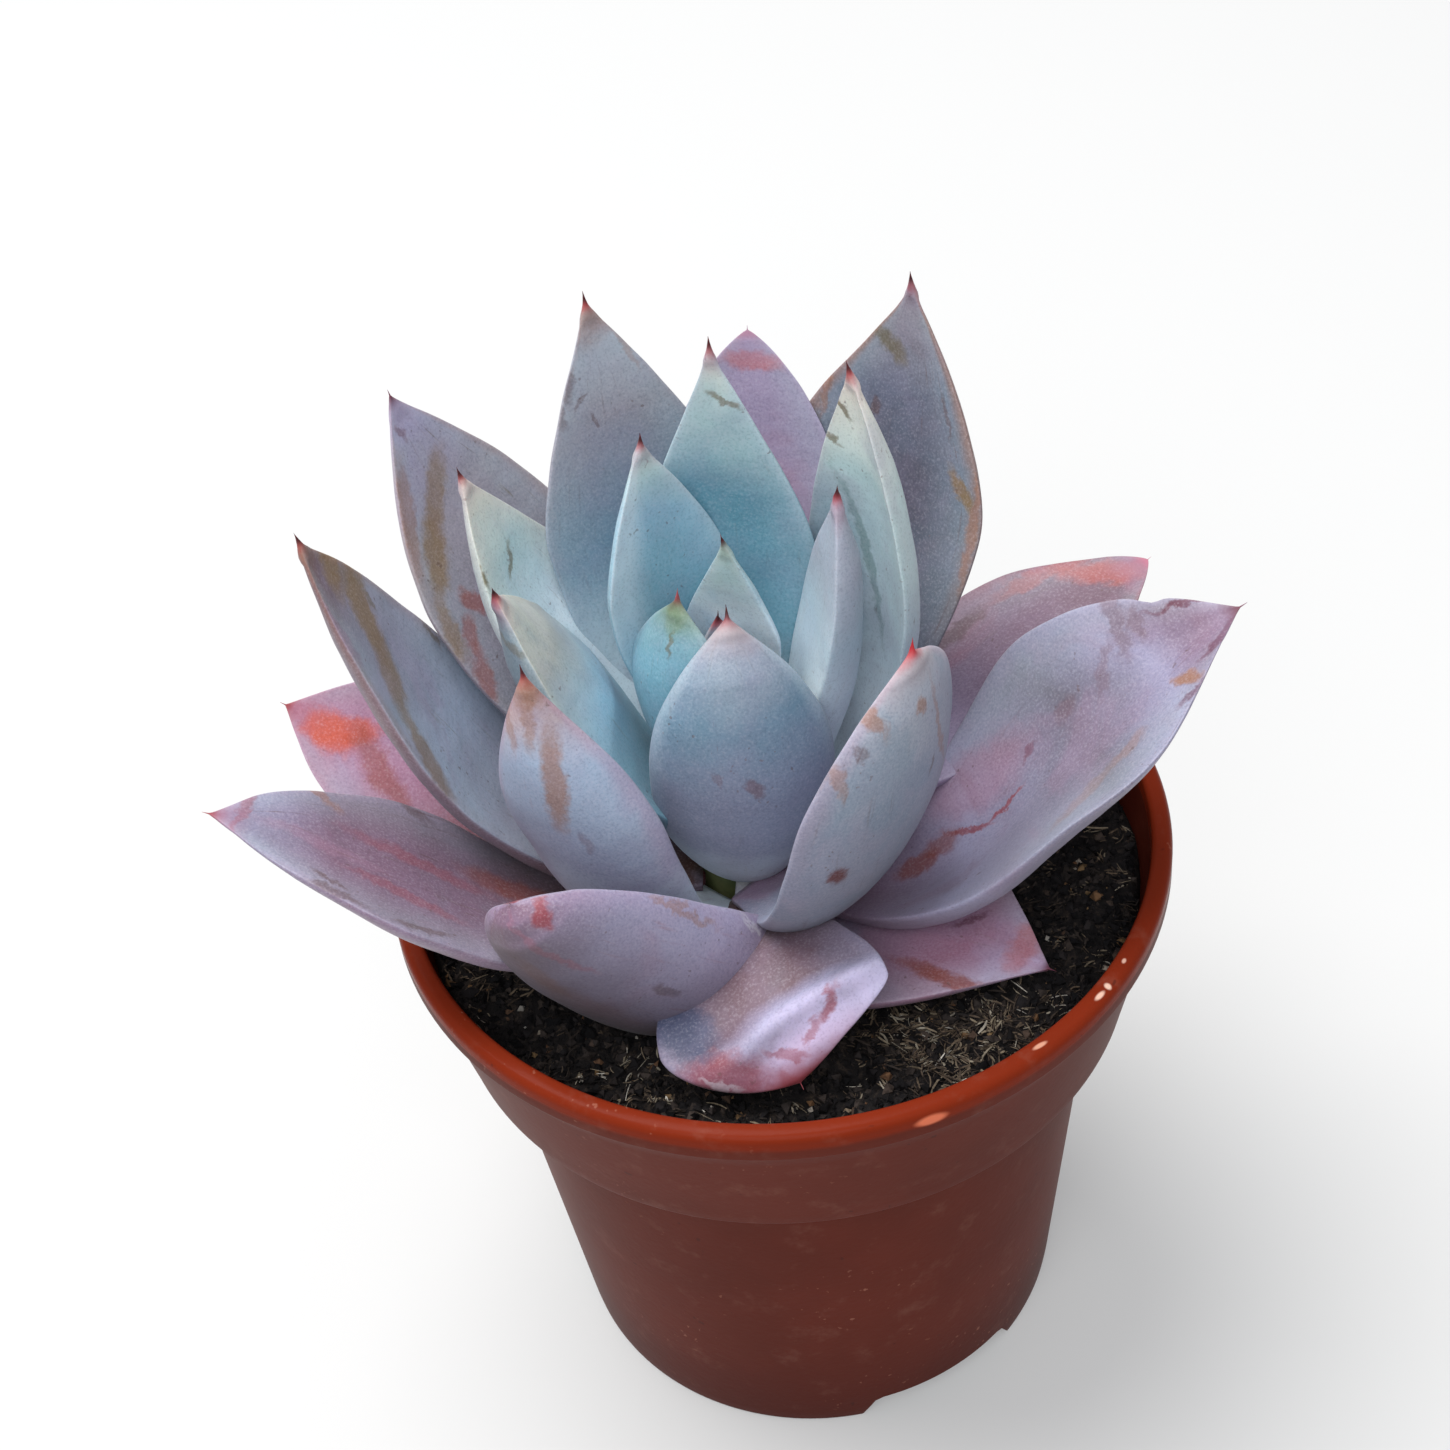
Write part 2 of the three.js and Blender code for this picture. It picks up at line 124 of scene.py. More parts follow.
# Loose pieces on the potting mix. A tangle of fibres is its x and y, reach and share.
CRUMBS = 14000
CRUMB_COLOURS = [(0.0, (14, 13, 15)), (0.35, (34, 31, 32)), (0.6, (64, 56, 52)), (0.75, (104, 74, 52)),
                 (0.9, (130, 106, 76)), (1.0, (160, 156, 150))]
PALE_CRUMBS = 0.05
FIBRES = 9300
STRAND_STEPS = 3
STRAND_SIDES = 3
FIBRE_COLOURS = [(0.0, (30, 27, 27)), (0.35, (58, 50, 45)), (0.6, (96, 82, 68)),
                 (0.78, (128, 116, 98)), (0.9, (148, 140, 126)), (1.0, (196, 190, 180))]
FIBRE_TANGLES = [
    (22, -38, 8, 0.9), (32, -42, 8, 0.8), (12, -36, 6, 0.6), (24, -47, 6, 0.5), (-24, -45, 6, 0.4),
    (44, -24, 5, 0.3), (30, 25, 12, 0.5), (-35, 20, 10, 0.4),
]
WORN = (60, 54, 52)

# Leaf mesh, whose rows crowd towards the tip, and the horny spike there
LEAF_ROWS = 90
LEAF_RING = 48
ROW_CROWDING = 1.5
THINNEST = 0.8
THIN_FROM = 0.35
UPPER_SHARE = 0.22
SPIKE_RADIUS = 1.05
SPIKE_LENGTH = 4.8
BLADE_SHORT = 1.7
CREST_WIDTH = 0.05
CREST_SLANT = 0.09
WAVE_COUNT = 17
NICK_HALF = 1.1

# Shallow dents of a leaf, as closeness and height. Blender starts their noise from the time of
# day, so a seed of its own keeps them the same in every run.
LEAF_DENTS = [(0.055, 0.55), (0.17, 0.12)]
DENT_SEED = 7

# Leaf colours, as sRGB
PALETTE = {
    "deep": (84, 134, 154), "teal": (92, 142, 160), "aqua": (122, 172, 190), "ice": (148, 190, 212),
    "pale": (176, 196, 206), "cream": (198, 202, 190), "slate": (106, 136, 156), "glass": (182, 206, 206),
    "silver": (162, 168, 180), "haze": (150, 146, 156), "powder": (156, 174, 198),
    "mist": (126, 132, 154), "lavender": (144, 140, 166), "lilac": (156, 142, 170),
    "frost": (164, 160, 188), "mauve": (136, 112, 134), "dusk": (98, 104, 122), "pink": (164, 122, 146),
    "rose": (166, 102, 122), "coral": (190, 84, 62), "rust": (138, 64, 42), "tan": (146, 104, 80),
    "gold": (132, 104, 62), "olive": (106, 94, 60), "umber": (108, 84, 94), "brown": (88, 62, 56),
    "maroon": (96, 42, 42), "brick": (142, 60, 68), "plum": (92, 36, 56), "wine": (54, 8, 16),
    "red": (160, 22, 34), "jade": (84, 118, 114), "moss": (112, 128, 72), "mint": (112, 138, 128),
    # The dark blue-grey on the next line is used only for a painted shadow.
    "white": (208, 204, 214), "ink": (58, 70, 100), "snow": (216, 230, 238), "chalk": (222, 222, 210),
    "dove": (142, 148, 168), "blush": (176, 150, 150), "ash": (102, 97, 110), "lead": (84, 88, 102),
    "fog": (128, 124, 136), "heather": (120, 94, 114), "orchid": (200, 190, 224), "berry": (128, 48, 56),
    "cloud": (170, 186, 210), "shell": (178, 180, 174),
}

# Where a leaf's tones lie along the blade, by how many they are
TONE_PLACES = {4: (0.02, 0.34, 0.68, 0.95), 5: (0.05, 0.32, 0.55, 0.76, 0.92)}

LEAF_DEFAULTS = dict(
    rise=(30, 75), width=28, thick=6.5, roll=(0, 0), cup=0.18, fold=0, belly=0.58, root=0.45, waist=1.3,
    taper=1.8, point=1.1, thinning=0.75, bow=0, full=1, skew=0, spike=1, crest=(2, 0), nick=(0, 0),
    wave=0, swell=0.05,
    tones="teal aqua ice pale", margin=("cream", 0.4), flush=("lavender", 0.2), streak=("olive", 0.2),
    specks=0.5, horn=("wine", "red", 0.85, "rose", 0.4), upper=(), lower=(), dark=0.0,
    rim_highlight=("pale", 0.25, 0), under_shade=("slate", 0.0), slant=0.0, places=None, bloom=("lilac", 0.12), gloss=0.38,
)

# Each leaf runs from its base to its tip, both given as azimuth in degrees, distance from the
# stem's axis and height in millimetres. rise is the slope in degrees at which it leaves the base
# and reaches the tip, and aim the azimuth at which it does so, where that isn't the chord's.
# width and thick are the blade's largest sizes, belly says how far along it is widest, root how
# wide the base is beside that, and waist how late it widens. taper and point shape the end, and
# thinning is the share of its thickness that the blade loses there. cup hollows the upper face,
# fold creases it along the middle, swell fills it, roll turns the blade about its own length, bow
# bends it sideways, full lengthens its curve, and skew brings the tip over to one margin. spike
# is the size of the horny end beside the usual one, crest a raised line across the blade, as
# place and height, nick a small bite in the left margin, as place and depth, and wave the height
# of the margins' waves.
#
# The second part of each entry is its look, where a colour goes with a strength from 0 to 1.
# tones run from the base to the tip, at places along the blade, and slant moves them along one
# margin. margin tints the edge. rim_highlight is a painted highlight in the broad band beside the
# edge on the upper face, where a hollow face would catch the light, and it leans to one side by its
# third value. under_shade is painted shade over the lower face. flush and bloom come in clouds, and
# streak in chance marks along the blade. specks is the strength of small dots and dashes, dark
# that of the painted shade on what faces down, and gloss the lowest roughness. horn is the spike's
# colour, then the ring's below it and the glow's below that. upper and lower list the marks on
# either face, each by its colour, its place along and across the blade, its half length and half
# width in millimetres, its turn in degrees and its strength.
LEAVES = {
    "leaf_heart_bud": dict(
        base=(100, 1, 121), tip=(100, 1.5, 143), aim=(100, 100), rise=(80, 90), width=8, thick=4,
        spike=0.6),
    "leaf_heart_back": dict(
        base=(60, 2.5, 121), tip=(60, 2.5, 156), aim=(60, 60), rise=(75, 97), width=15, thick=4,
        taper=1.3, belly=0.5, spike=0.8,
        tones="snow snow snow glass glass", margin=("ice", 0.3), flush=("ice", 0.3), streak=("olive", 0),
        horn=("wine", "brown", 0.5, "moss", 0.35), rim_highlight=("snow", 0.3, 0)),
    "leaf_heart_left": dict(
        base=(225, 3, 112), tip=(205, 6, 151), aim=(222, 222), rise=(55, 105), width=23, thick=5,
        spike=0.9,
        tones="teal teal aqua mint", margin=("pale", 0.3), flush=("slate", 0.3),
        horn=("brick", "brown", 0.7, "moss", 0.5), lower=[("moss", 0.9, 0.1, 3, 1.6, 0, 0.3),
        ("olive", 0.8, 0.1, 2, 0.4, 0, 0.6)]),
    "leaf_front_centre": dict(
        base=(272, 5, 101), tip=(280, 6, 150), aim=(274, 274), rise=(40, 120), width=27, root=0.6,
        belly=0.5, taper=2.4,
        tones="snow dove mist slate silver", margin=("pale", 0.4), places=(0.05, 0.3, 0.52, 0.74, 0.95),
        rim_highlight=("pale", 0, 0), flush=("mist", 0.3), horn=("wine", "brick", 0.8, "blush", 0.7), dark=0.2,
        lower=[("umber", 0.52, 0.07, 1.6, 1.1, -50, 0.7), ("umber", 0.55, -0.29, 1.4, 0.6, -18, 0.45)]),
    "leaf_centre_left": dict(
        base=(140, 4, 114), tip=(130, 13, 169), aim=(125, 125), rise=(60, 90), width=21, thick=5.5,
        taper=1.5,
        tones="aqua aqua aqua ice glass", margin=("pale", 0.4), flush=("teal", 0.2),
        rim_highlight=("snow", 0.5, 0.35)),
    "leaf_right_centre": dict(
        base=(355, 5, 110), tip=(5, 18, 163), rise=(60, 85), width=16.5, thick=8,
        tones="snow snow pale silver silver", margin=("silver", 0.1), flush=("ice", 0.1),
        rim_highlight=("pale", 0, 0), under_shade=("mist", 0.15)),
    "leaf_back_centre": dict(
        base=(82, 6, 112), tip=(82, 17, 179), rise=(60, 90), width=26, taper=1.35, point=1.15, belly=0.5,
        tones="snow aqua teal glass chalk", margin=("pale", 0.5), places=(0.05, 0.32, 0.64, 0.82, 0.93),
        horn=("wine", "red", 0.85, "pink", 0.6), flush=("deep", 0.2), rim_highlight=("pale", 0.35, 0),
        upper=[("olive", 0.85, -0.32, 3, 0.6, 55, 0.7)]),
    "leaf_left_inner": dict(
        base=(190, 4, 107), tip=(188, 31, 156), rise=(32, 82), width=34, bow=-3, belly=0.48, root=0.6,
        swell=0.3,
        tones="aqua aqua ice shell cream", margin=("cream", 0.2), flush=("slate", 0.3), dark=0.5,
        rim_highlight=("chalk", 0.2, -0.2), under_shade=("slate", 0.8), lower=[("olive", 0.85, 0.5, 3.8, 0.7, -80, 0.5)]),
    "leaf_right_channelled": dict(
        base=(15, 5, 104), tip=(30, 24, 176), rise=(15, 95), width=22, cup=0.45, bow=-4,
        tones="snow snow pale glass chalk", margin=("haze", 0.2), rim_highlight=("pale", 0, 0),
        flush=("silver", 0.4), upper=[("olive", 0.9, 0.6, 2, 0.5, 38, 0.8),
        ("olive", 0.83, 0.73, 1.3, 0.45, 44, 0.7), ("jade", 0.62, 0.06, 12, 1, 23, 0.5),
        ("slate", 0.55, 0.5, 14, 4, 10, 0.5)]),
    "leaf_left_pale": dict(
        base=(158, 5, 107), tip=(157, 38, 163), rise=(40, 80), width=25, taper=1.6, bow=-1,
        tones="snow snow snow glass chalk", flush=("aqua", 0.2), rim_highlight=("chalk", 0.4, 0),
        under_shade=("silver", 0.6), upper=[("olive", 0.74, 0.04, 3, 0.5, -52, 0.7),
        ("olive", 0.79, 0.94, 2.4, 0.7, -15, 0.8)]),
    "leaf_back_left": dict(
        base=(115, 6, 106), tip=(115, 35, 179), rise=(45, 80), width=30, taper=1.5,
        tones="snow pale slate haze silver", margin=("haze", 0.4), streak=("brown", 0.3),
        flush=("mist", 0.3), horn=("wine", "red", 0.8, "tan", 0.5),
        upper=[("tan", 0.95, 0.2, 5, 3.5, -60, 0.35), ("brown", 0.85, 0.84, 3, 0.9, -19, 0.5),
        ("brown", 0.8, 0.93, 2.5, 0.8, 0, 0.4), ("brown", 0.81, 0.55, 1.6, 0.35, -60, 0.5),
        ("brown", 0.77, 0.3, 1.2, 0.35, 30, 0.5), ("tan", 0.88, -0.72, 4, 0.6, 20, 0.35)]),
    "leaf_front_right": dict(
        base=(311, 8, 98), tip=(318, 34, 155), rise=(15, 95), width=38, root=0.6, bow=-3.5, taper=3.2,
        skew=0.12,
        tones="mauve dove dove silver", margin=("pink", 0.3), streak=("brown", 0.3), flush=("slate", 0.4),
        dark=0.3, horn=("red", "red", 0.9, "blush", 0.5), lower=[("tan", 0.91, -0.9, 4, 1, -27, 0.7),
        ("tan", 0.8, -0.83, 2.5, 0.8, 0, 0.5), ("tan", 0.86, 0.04, 1.6, 1, -28, 0.7),
        ("tan", 0.76, 0.35, 8.5, 0.6, -20, 0.5), ("brown", 0.84, -0.71, 1, 0.6, 0, 0.5),
        ("brown", 0.69, 0.23, 1.4, 0.4, 31, 0.6), ("maroon", 0.56, -0.68, 2, 1.5, -40, 0.95)]),
    "leaf_front_left": dict(
        base=(226, 9, 93), tip=(215, 33, 154), rise=(20, 90), width=25, root=0.65, roll=(-15, -45),
        bow=4.5,
        tones="snow snow dove powder blush", margin=("pink", 0.3), streak=("rust", 0.3),
        flush=("lavender", 0.4), dark=0.15, horn=("wine", "red", 0.8, "tan", 0.5),
        lower=[("tan", 0.76, 0.12, 7.5, 1.7, 12, 0.75), ("tan", 0.9, -0.05, 5, 1, 10, 0.5),
        ("tan", 0.95, 0.1, 4, 2.5, 70, 0.5), ("tan", 0.87, -0.7, 4, 0.8, 0, 0.5),
        ("umber", 0.62, 0.23, 1.8, 0.9, -13, 0.4)]),
    "leaf_back_right": dict(
        base=(42, 6, 102), tip=(47, 47, 175), rise=(20, 95), width=37, point=1.4, bow=1,
        tones="lead lead lead dusk haze", margin=("tan", 0.6), streak=("brown", 0.5),
        flush=("umber", 0.2), horn=("wine", "brick", 0.7, "pink", 0.4),
        upper=[("olive", 0.85, 0.35, 3.6, 1.6, 53, 0.75), ("gold", 0.65, -0.77, 3.6, 1.2, 49, 0.8),
        ("tan", 0.62, -0.93, 12, 0.9, 5, 0.6), ("tan", 0.76, 0.97, 7, 0.8, 0, 0.6),
        ("brown", 0.76, -0.68, 3.2, 0.4, 24, 0.5), ("brown", 0.73, 0.26, 1.2, 0.8, 0, 0.6)]),
    "leaf_left_streaked": dict(
        base=(145, 7, 101), tip=(145, 55, 166), rise=(25, 80), width=34, taper=1.7, bow=-2, spike=0.6,
        tones="heather fog fog haze frost", margin=("tan", 0.3), streak=("olive", 0.5),
        flush=("silver", 0.4), horn=("plum", "plum", 0.5, "lilac", 0.5),
        upper=[("gold", 0.79, 0.15, 6.5, 2, -46, 0.6), ("gold", 0.7, 0.6, 7, 2.3, -41, 0.75),
        ("gold", 0.58, 0.88, 5, 1.5, -15, 0.6), ("tan", 0.79, 0.82, 9, 1.7, -32, 0.55),
        ("rust", 0.59, 0.5, 3, 1.6, 27, 0.7), ("rust", 0.55, 0.73, 2.8, 1.5, -34, 0.6),
        ("rust", 0.48, 0.9, 4.5, 1.8, -22, 0.6), ("maroon", 0.92, 0.35, 1.5, 0.6, 23, 0.5)]),
    # Its brown base tone is partly its own reddish colour and partly painted shade.
    "leaf_left_long": dict(
        base=(187, 7, 95), tip=(178, 57, 164), rise=(3, 75), width=29, taper=2.1, wave=0.3,
        under_shade=("umber", 0.8), tones="brown fog cloud dove umber", margin=("tan", 0.3),
        streak=("olive", 0.4), flush=("frost", 0.5), horn=("wine", "red", 0.7, "tan", 0.6),
        upper=[("gold", 0.91, -0.72, 5.5, 2.4, -43, 0.85), ("gold", 0.81, -0.28, 8, 3, -38, 0.85),
        ("gold", 0.72, 0.28, 5.4, 2.8, -54, 0.7), ("gold", 0.62, 0.77, 7, 2.2, -32, 0.7),
        ("olive", 0.8, -0.58, 1.8, 0.4, -12, 0.6), ("olive", 0.65, -0.9, 2.4, 0.5, -10, 0.6),
        ("mauve", 0.86, 0.9, 6, 1.6, -15, 0.6)]),
    "leaf_back_pink": dict(
        base=(80, 6, 98), tip=(80, 47, 161), width=31, point=0.8, spike=0.4,
        tones="rose pink lilac lilac", margin=("lilac", 0.4), flush=("pink", 0.4),
        horn=("pink", "pink", 0.2, "lilac", 0.4), upper=[("coral", 0.93, -0.1, 5, 1.6, 85, 0.5)]),
    # Its brown mark is a painted shadow, cast along it by the edge of leaf_back_right.
    "leaf_right_back_pink": dict(
        base=(20, 7, 97), tip=(25, 75, 120), rise=(20, 20), width=30, point=0.8, spike=0.4, wave=0.4,
        tones="mauve lilac heather umber", flush=("rose", 0.4), margin=("brick", 0.3),
        horn=("rose", "rose", 0.3, "mauve", 0.5), upper=[("coral", 0.9, 0.35, 8, 2.4, -43, 0.45),
        ("coral", 0.8, 0.8, 9, 1.4, -10, 0.3), ("brown", 0.57, 0.66, 6, 1.4, 0, 0.5)]),
    "leaf_right_large": dict(
        base=(333, 13, 94), tip=(357, 74.5, 139), aim=(-36, 4), rise=(0, 34), width=40, fold=0.25,
        roll=(0, -20), root=0.42, waist=2, taper=2.2, full=1.2, skew=-0.05, spike=0.6, nick=(0.885, 1.1),
        wave=0.5,
        tones="mauve frost ash lavender heather", margin=("lavender", 0.4),
        places=(0.05, 0.36, 0.64, 0.78, 0.88), streak=("umber", 0.4), flush=("mauve", 0.45),
        horn=("plum", "plum", 0.6, "lilac", 0.3), upper=[("umber", 0.83, 0.72, 6.3, 1.3, 68, 0.6),
        ("umber", 0.76, 0.32, 4, 0.9, 42, 0.5), ("umber", 0.85, 0.57, 2.4, 1, 74, 0.6),
        ("umber", 0.67, 0.29, 2.2, 1.3, 17, 0.5), ("plum", 0.57, 0.29, 1.8, 0.6, 21, 0.6),
        ("brick", 0.36, 0.23, 5.2, 0.5, -22, 0.8), ("brick", 0.47, 0.13, 4.5, 0.35, 0, 0.8),
        ("rust", 0.28, 0.32, 4.5, 2, 0, 0.6), ("rust", 0.21, 0.23, 5, 1.8, 9, 0.7),
        ("tan", 0.86, -0.55, 2.6, 1.1, -48, 0.9), ("tan", 0.72, -0.53, 3, 1.4, 17, 0.35),
        ("tan", 0.62, -0.65, 6, 1.5, 30, 0.3), ("plum", 0.94, 0.85, 6, 0.6, -25, 0.9),
        ("plum", 0.95, -0.65, 5, 0.9, 25, 0.9), ("plum", 0.87, -0.9, 4, 0.8, 12, 0.6),
        ("rose", 0.42, 0.55, 13, 5, -10, 0.4)]),
    # Its maroon base tone is its reddish colour darkened with painted shade.
    "leaf_left_low_pink": dict(
        base=(170, 6, 94), tip=(168, 70, 123), rise=(5, 38), width=32, roll=(0, 30), taper=2.4, bow=-1.5,
        spike=0.5,
        tones="maroon rust pink pink", flush=("lilac", 0.4), margin=("pink", 0.3),
        horn=("brick", "brick", 0.5, "rose", 0.4), upper=[("coral", 0.88, 0.14, 5, 3, -16, 0.9),
        ("coral", 0.84, 0, 5, 2.2, 20, 0.8), ("rust", 0.74, 0.3, 8, 2.2, -40, 0.6)]),
    "leaf_low_left": dict(
        base=(218, 9, 92), tip=(195, 77, 134), aim=(212, 182), rise=(0, 24), width=30, belly=0.66,
        root=0.6, taper=1.6, bow=2, spike=0.6, wave=0.4,
        tones="brown umber heather heather lavender", margin=("lilac", 0.3), streak=("brown", 0.5),
        flush=("ash", 0.4), horn=("brick", "brick", 0.5, "pink", 0.5),
        upper=[("brown", 0.62, -0.92, 3, 1, -28, 0.5), ("tan", 0.81, -0.9, 4, 1, -33, 0.6),
        ("brick", 0.93, -0.4, 6, 0.8, 70, 0.5), ("brown", 0.79, 0.68, 2.2, 0.5, -33, 0.6),
        ("brick", 0.62, -0.2, 11, 1.3, -8, 0.4), ("brick", 0.66, 0.35, 8, 1.1, -12, 0.4),
        ("rust", 0.42, -0.3, 9, 2.4, -5, 0.6), ("pink", 0.8, 0.05, 9, 1.2, -10, 0.25),
        ("brown", 0.78, 0.89, 4.2, 0.9, -22, 0.6), ("brown", 0.64, 0.86, 4, 1, 8, 0.6)]),
    "leaf_stub": dict(
        base=(280, 5, 100), tip=(283, 17, 91), rise=(-15, -45), width=11, thick=6, point=0.4, spike=0,
        tones="moss haze silver silver", margin=("pale", 0.2), horn=("moss", "moss", 0, "moss", 0)),
    # The white mark on its lower face is a painted highlight.
    "leaf_low_front_left": dict(
        base=(287, 14, 92), tip=(230, 50, 129), aim=(250, 208), rise=(0, 62), width=27, thick=9,
        roll=(-68, -50), point=0.5, root=0.42, taper=2.1, thinning=0.45, spike=0.5,
        tones="lilac lilac frost lavender heather", margin=("lilac", 0.4), flush=("pink", 0.2),
        streak=("rust", 0.25), horn=("lilac", "lilac", 0, "lilac", 0), dark=0.9,
        upper=[("brick", 0.96, 0, 1.9, 1.3, -20, 0.85)], lower=[("rose", 0.86, 0.07, 7, 0.7, -8, 0.5),
        ("tan", 0.62, 0.95, 7, 0.4, 3, 0.5), ("brick", 0.95, 0.6, 1.9, 1.2, -20, 0.85),
        ("white", 0.34, 0.97, 3.2, 0.3, 21, 0.6), ("brown", 0.56, 0.2, 1.8, 0.8, 0, 0.5),
        ("tan", 0.79, -0.44, 5, 1.6, 11, 0.35), ("tan", 0.66, -0.5, 9, 3, 0, 0.25)]),
    # Its brown and umber base tones are painted shade, where the leaves above shade it up to the crest, and
    # its dark blue-grey mark is a painted shadow of the leaf beside it.
    "leaf_front_low": dict(
        base=(280, 12, 95), tip=(276, 48, 95), aim=(270, 305), rise=(35, -40), width=35, roll=(0, -30),
        belly=0.78, root=0.4, waist=3.4, taper=1.6, point=0.75, thinning=0.35, bow=1.5, full=1.4,
        spike=0.5, crest=(0.79, 2), swell=0.12,
        tones="brown umber umber frost orchid", margin=("frost", 0.3),
        places=(0.2, 0.5, 0.74, 0.81, 0.88), slant=0.08, flush=("ash", 0.3), streak=("rust", 0.1),
        horn=("brick", "brick", 0.6, "rose", 0.3), dark=0.4, rim_highlight=("frost", 0.4, 0),
        upper=[("umber", 0.58, 0.38, 2.5, 0.9, -67, 0.7), ("ink", 0.7, -0.8, 5.5, 3.2, 60, 0.85),
        ("berry", 0.88, -0.7, 6.5, 2.6, 80, 0.85), ("white", 0.89, -0.77, 2.8, 0.5, 64, 0.6),
        ("brick", 0.96, -0.2, 1.6, 0.9, 44, 0.5), ("brick", 0.89, 0, 3, 0.6, 65, 0.6),
        ("brick", 0.8, 0.47, 2.8, 0.9, -51, 0.8), ("brick", 0.86, 0.3, 2, 0.6, -51, 0.6)]),
    "leaf_low_front_right": dict(
        base=(318, 11, 91), tip=(325, 53, 95), rise=(5, 0), width=38, belly=0.5, taper=1.15, point=1,
        spike=0.6,
        tones="frost lilac pink orchid", flush=("rose", 0.35), margin=("mauve", 0.3),
        horn=("plum", "plum", 0.4, "rose", 0.2), upper=[("coral", 0.86, 0.37, 6, 2.2, 84, 0.5),
        ("plum", 0.64, 0.2, 3.2, 0.7, 55, 0.6), ("rust", 0.72, -0.8, 10, 1.6, -5, 0.8)]),
    "leaf_back_low_left": dict(
        base=(130, 7, 95), tip=(128, 60, 118), rise=(5, 45), width=27, spike=0.7,
        tones="mauve mauve lavender pink", flush=("rose", 0.4)),
    "leaf_back_low": dict(
        base=(98, 7, 93), tip=(98, 64, 112), rise=(5, 40), spike=0.6, wave=0.3,
        tones="mauve lavender mauve pink", flush=("coral", 0.2)),
    "leaf_back_low_right": dict(
        base=(60, 7, 94), tip=(60, 62, 114), rise=(5, 40), spike=0.7,
        tones="mauve pink lavender rose", flush=("rose", 0.4)),
}

# Where the tip's three colours begin and reach their full strength, in millimetres from its end
TIP_GLOW = (7.5, 2.4)
TIP_RING = (3.7, 1.5)
TIP_SPIKE = (2.4, 1.0)


def linear(colour):
    """A colour for a shader socket, from an sRGB triple or a palette name."""
    rgb = PALETTE[colour] if isinstance(colour, str) else colour
    values = [c / 255 for c in rgb]
    return tuple(c / 12.92 if c < 0.04045 else ((c + 0.055) / 1.055) ** 2.4 for c in values) + (1.0,)


class Tree:
    """A short way to write a material's nodes."""

    def __init__(self, name):
        self.material = bpy.data.materials.new(name)
        self.material.use_nodes = True
        self.nodes = self.material.node_tree.nodes
        self.links = self.material.node_tree.links
        self.nodes.clear()
        self.shader = self.nodes.new("ShaderNodeBsdfPrincipled")
        output = self.nodes.new("ShaderNodeOutputMaterial")
        self.links.new(self.shader.outputs[0], output.inputs[0])

    def feed(self, sockets, *values):
        """Links or sets each socket, by what its value is."""
        for socket, value in zip(sockets, values):
            if isinstance(value, bpy.types.NodeSocket):
                self.links.new(value, socket)
            else:
                socket.default_value = value

    def add(self, kind, *values, names=(), **settings):
        """The outputs of a new node, whose values go to the named inputs, or to them in order."""
        node = self.nodes.new("ShaderNode" + kind)
        for key, setting in settings.items():
            setattr(node, key, setting)
        self.feed([node.inputs[name] for name in names] or node.inputs, *values)
        return node.outputs

    def math(self, operation, a, b=0.0, c=0.0):
        return self.add("Math", a, b, c, operation=operation)[0]

    def scaled(self, value, factor, shift=0.0):
        """A value times a factor, plus a shift."""
        return self.math("MULTIPLY_ADD", value, factor, shift)

    def times(self, *factors):
        """The product of several values."""
        product = factors[0]
        for factor in factors[1:]:
            product = self.math("MULTIPLY", product, factor)
        return product

    def vector_math(self, operation, a, b=(0, 0, 0), c=(0, 0, 0)):
        outputs = self.add("VectorMath", a, b, c, operation=operation)
        return outputs["Value" if operation == "LENGTH" else "Vector"]

    def step(self, value, low, high, to_low=0.0, to_high=1.0):
        """A smooth step of value from low to high."""
        return self.add("MapRange", value, low, high, to_low, to_high, interpolation_type="SMOOTHSTEP")[0]

    def over(self, colour, tone, amount, blend="MIX"):
        """A colour with a tone laid over it by an amount."""
        return self.add("Mix", amount, colour, linear(tone), names=(0, 6, 7), data_type="RGBA",
                        blend_type=blend)[2]

    def ramp(self, value, stops, curve="EASE"):
        node = self.nodes.new("ShaderNodeValToRGB")
        node.color_ramp.interpolation = curve
        elements = node.color_ramp.elements
        while len(elements) < len(stops):
            elements.new(0.5)
        for element, (place, colour) in zip(elements, stops):
            element.position = place
            element.color = linear(colour)
        self.feed(node.inputs, value)
        return node.outputs[0]

    def attribute(self, name, output="Fac"):
        return self.add("Attribute", attribute_name=name)[output]

    def vector(self, x, y, z):
        return self.add("CombineXYZ", x, y, z)[0]

    def parts(self, vector):
        return self.add("SeparateXYZ", vector)

    def object_place(self, shift=(0, 0, 0)):
        return self.add("Mapping", self.add("TexCoord")["Object"], shift, names=("Vector", "Location"))[0]

    def spot(self, vector, centre, half_sizes, turn_deg, outer, inner, strength):
        """The strength of a soft ellipse, which fades between two shares of its half sizes."""
        inside = self.add("Mapping", vector, centre, (0, 0, math.radians(turn_deg)), half_sizes,
                          names=("Vector", "Location", "Rotation", "Scale"), vector_type="TEXTURE")[0]
        return self.step(self.vector_math("LENGTH", inside), outer, inner, 0, strength)

    def noise(self, place, scale, detail=3.0, roughness=0.55, distortion=0.0, output="Fac"):
        return self.add("TexNoise", place, scale, detail, roughness, distortion,
                        names=("Vector", "Scale", "Detail", "Roughness", "Distortion"))[output]

    def bump(self, height, strength, distance, *normal):
        return self.add("Bump", height, strength, distance, *normal,
                        names=("Height", "Strength", "Distance", "Normal"))[0]

    def finish(self, colour, roughness, **values):
        values = {"Base_Color": colour, "Roughness": roughness, **values}
        for name, value in values.items():
            self.feed([self.shader.inputs[name.replace("_", " ")]], value)
        return self.material


def link(thing):
    bpy.context.scene.collection.objects.link(thing)
    return thing


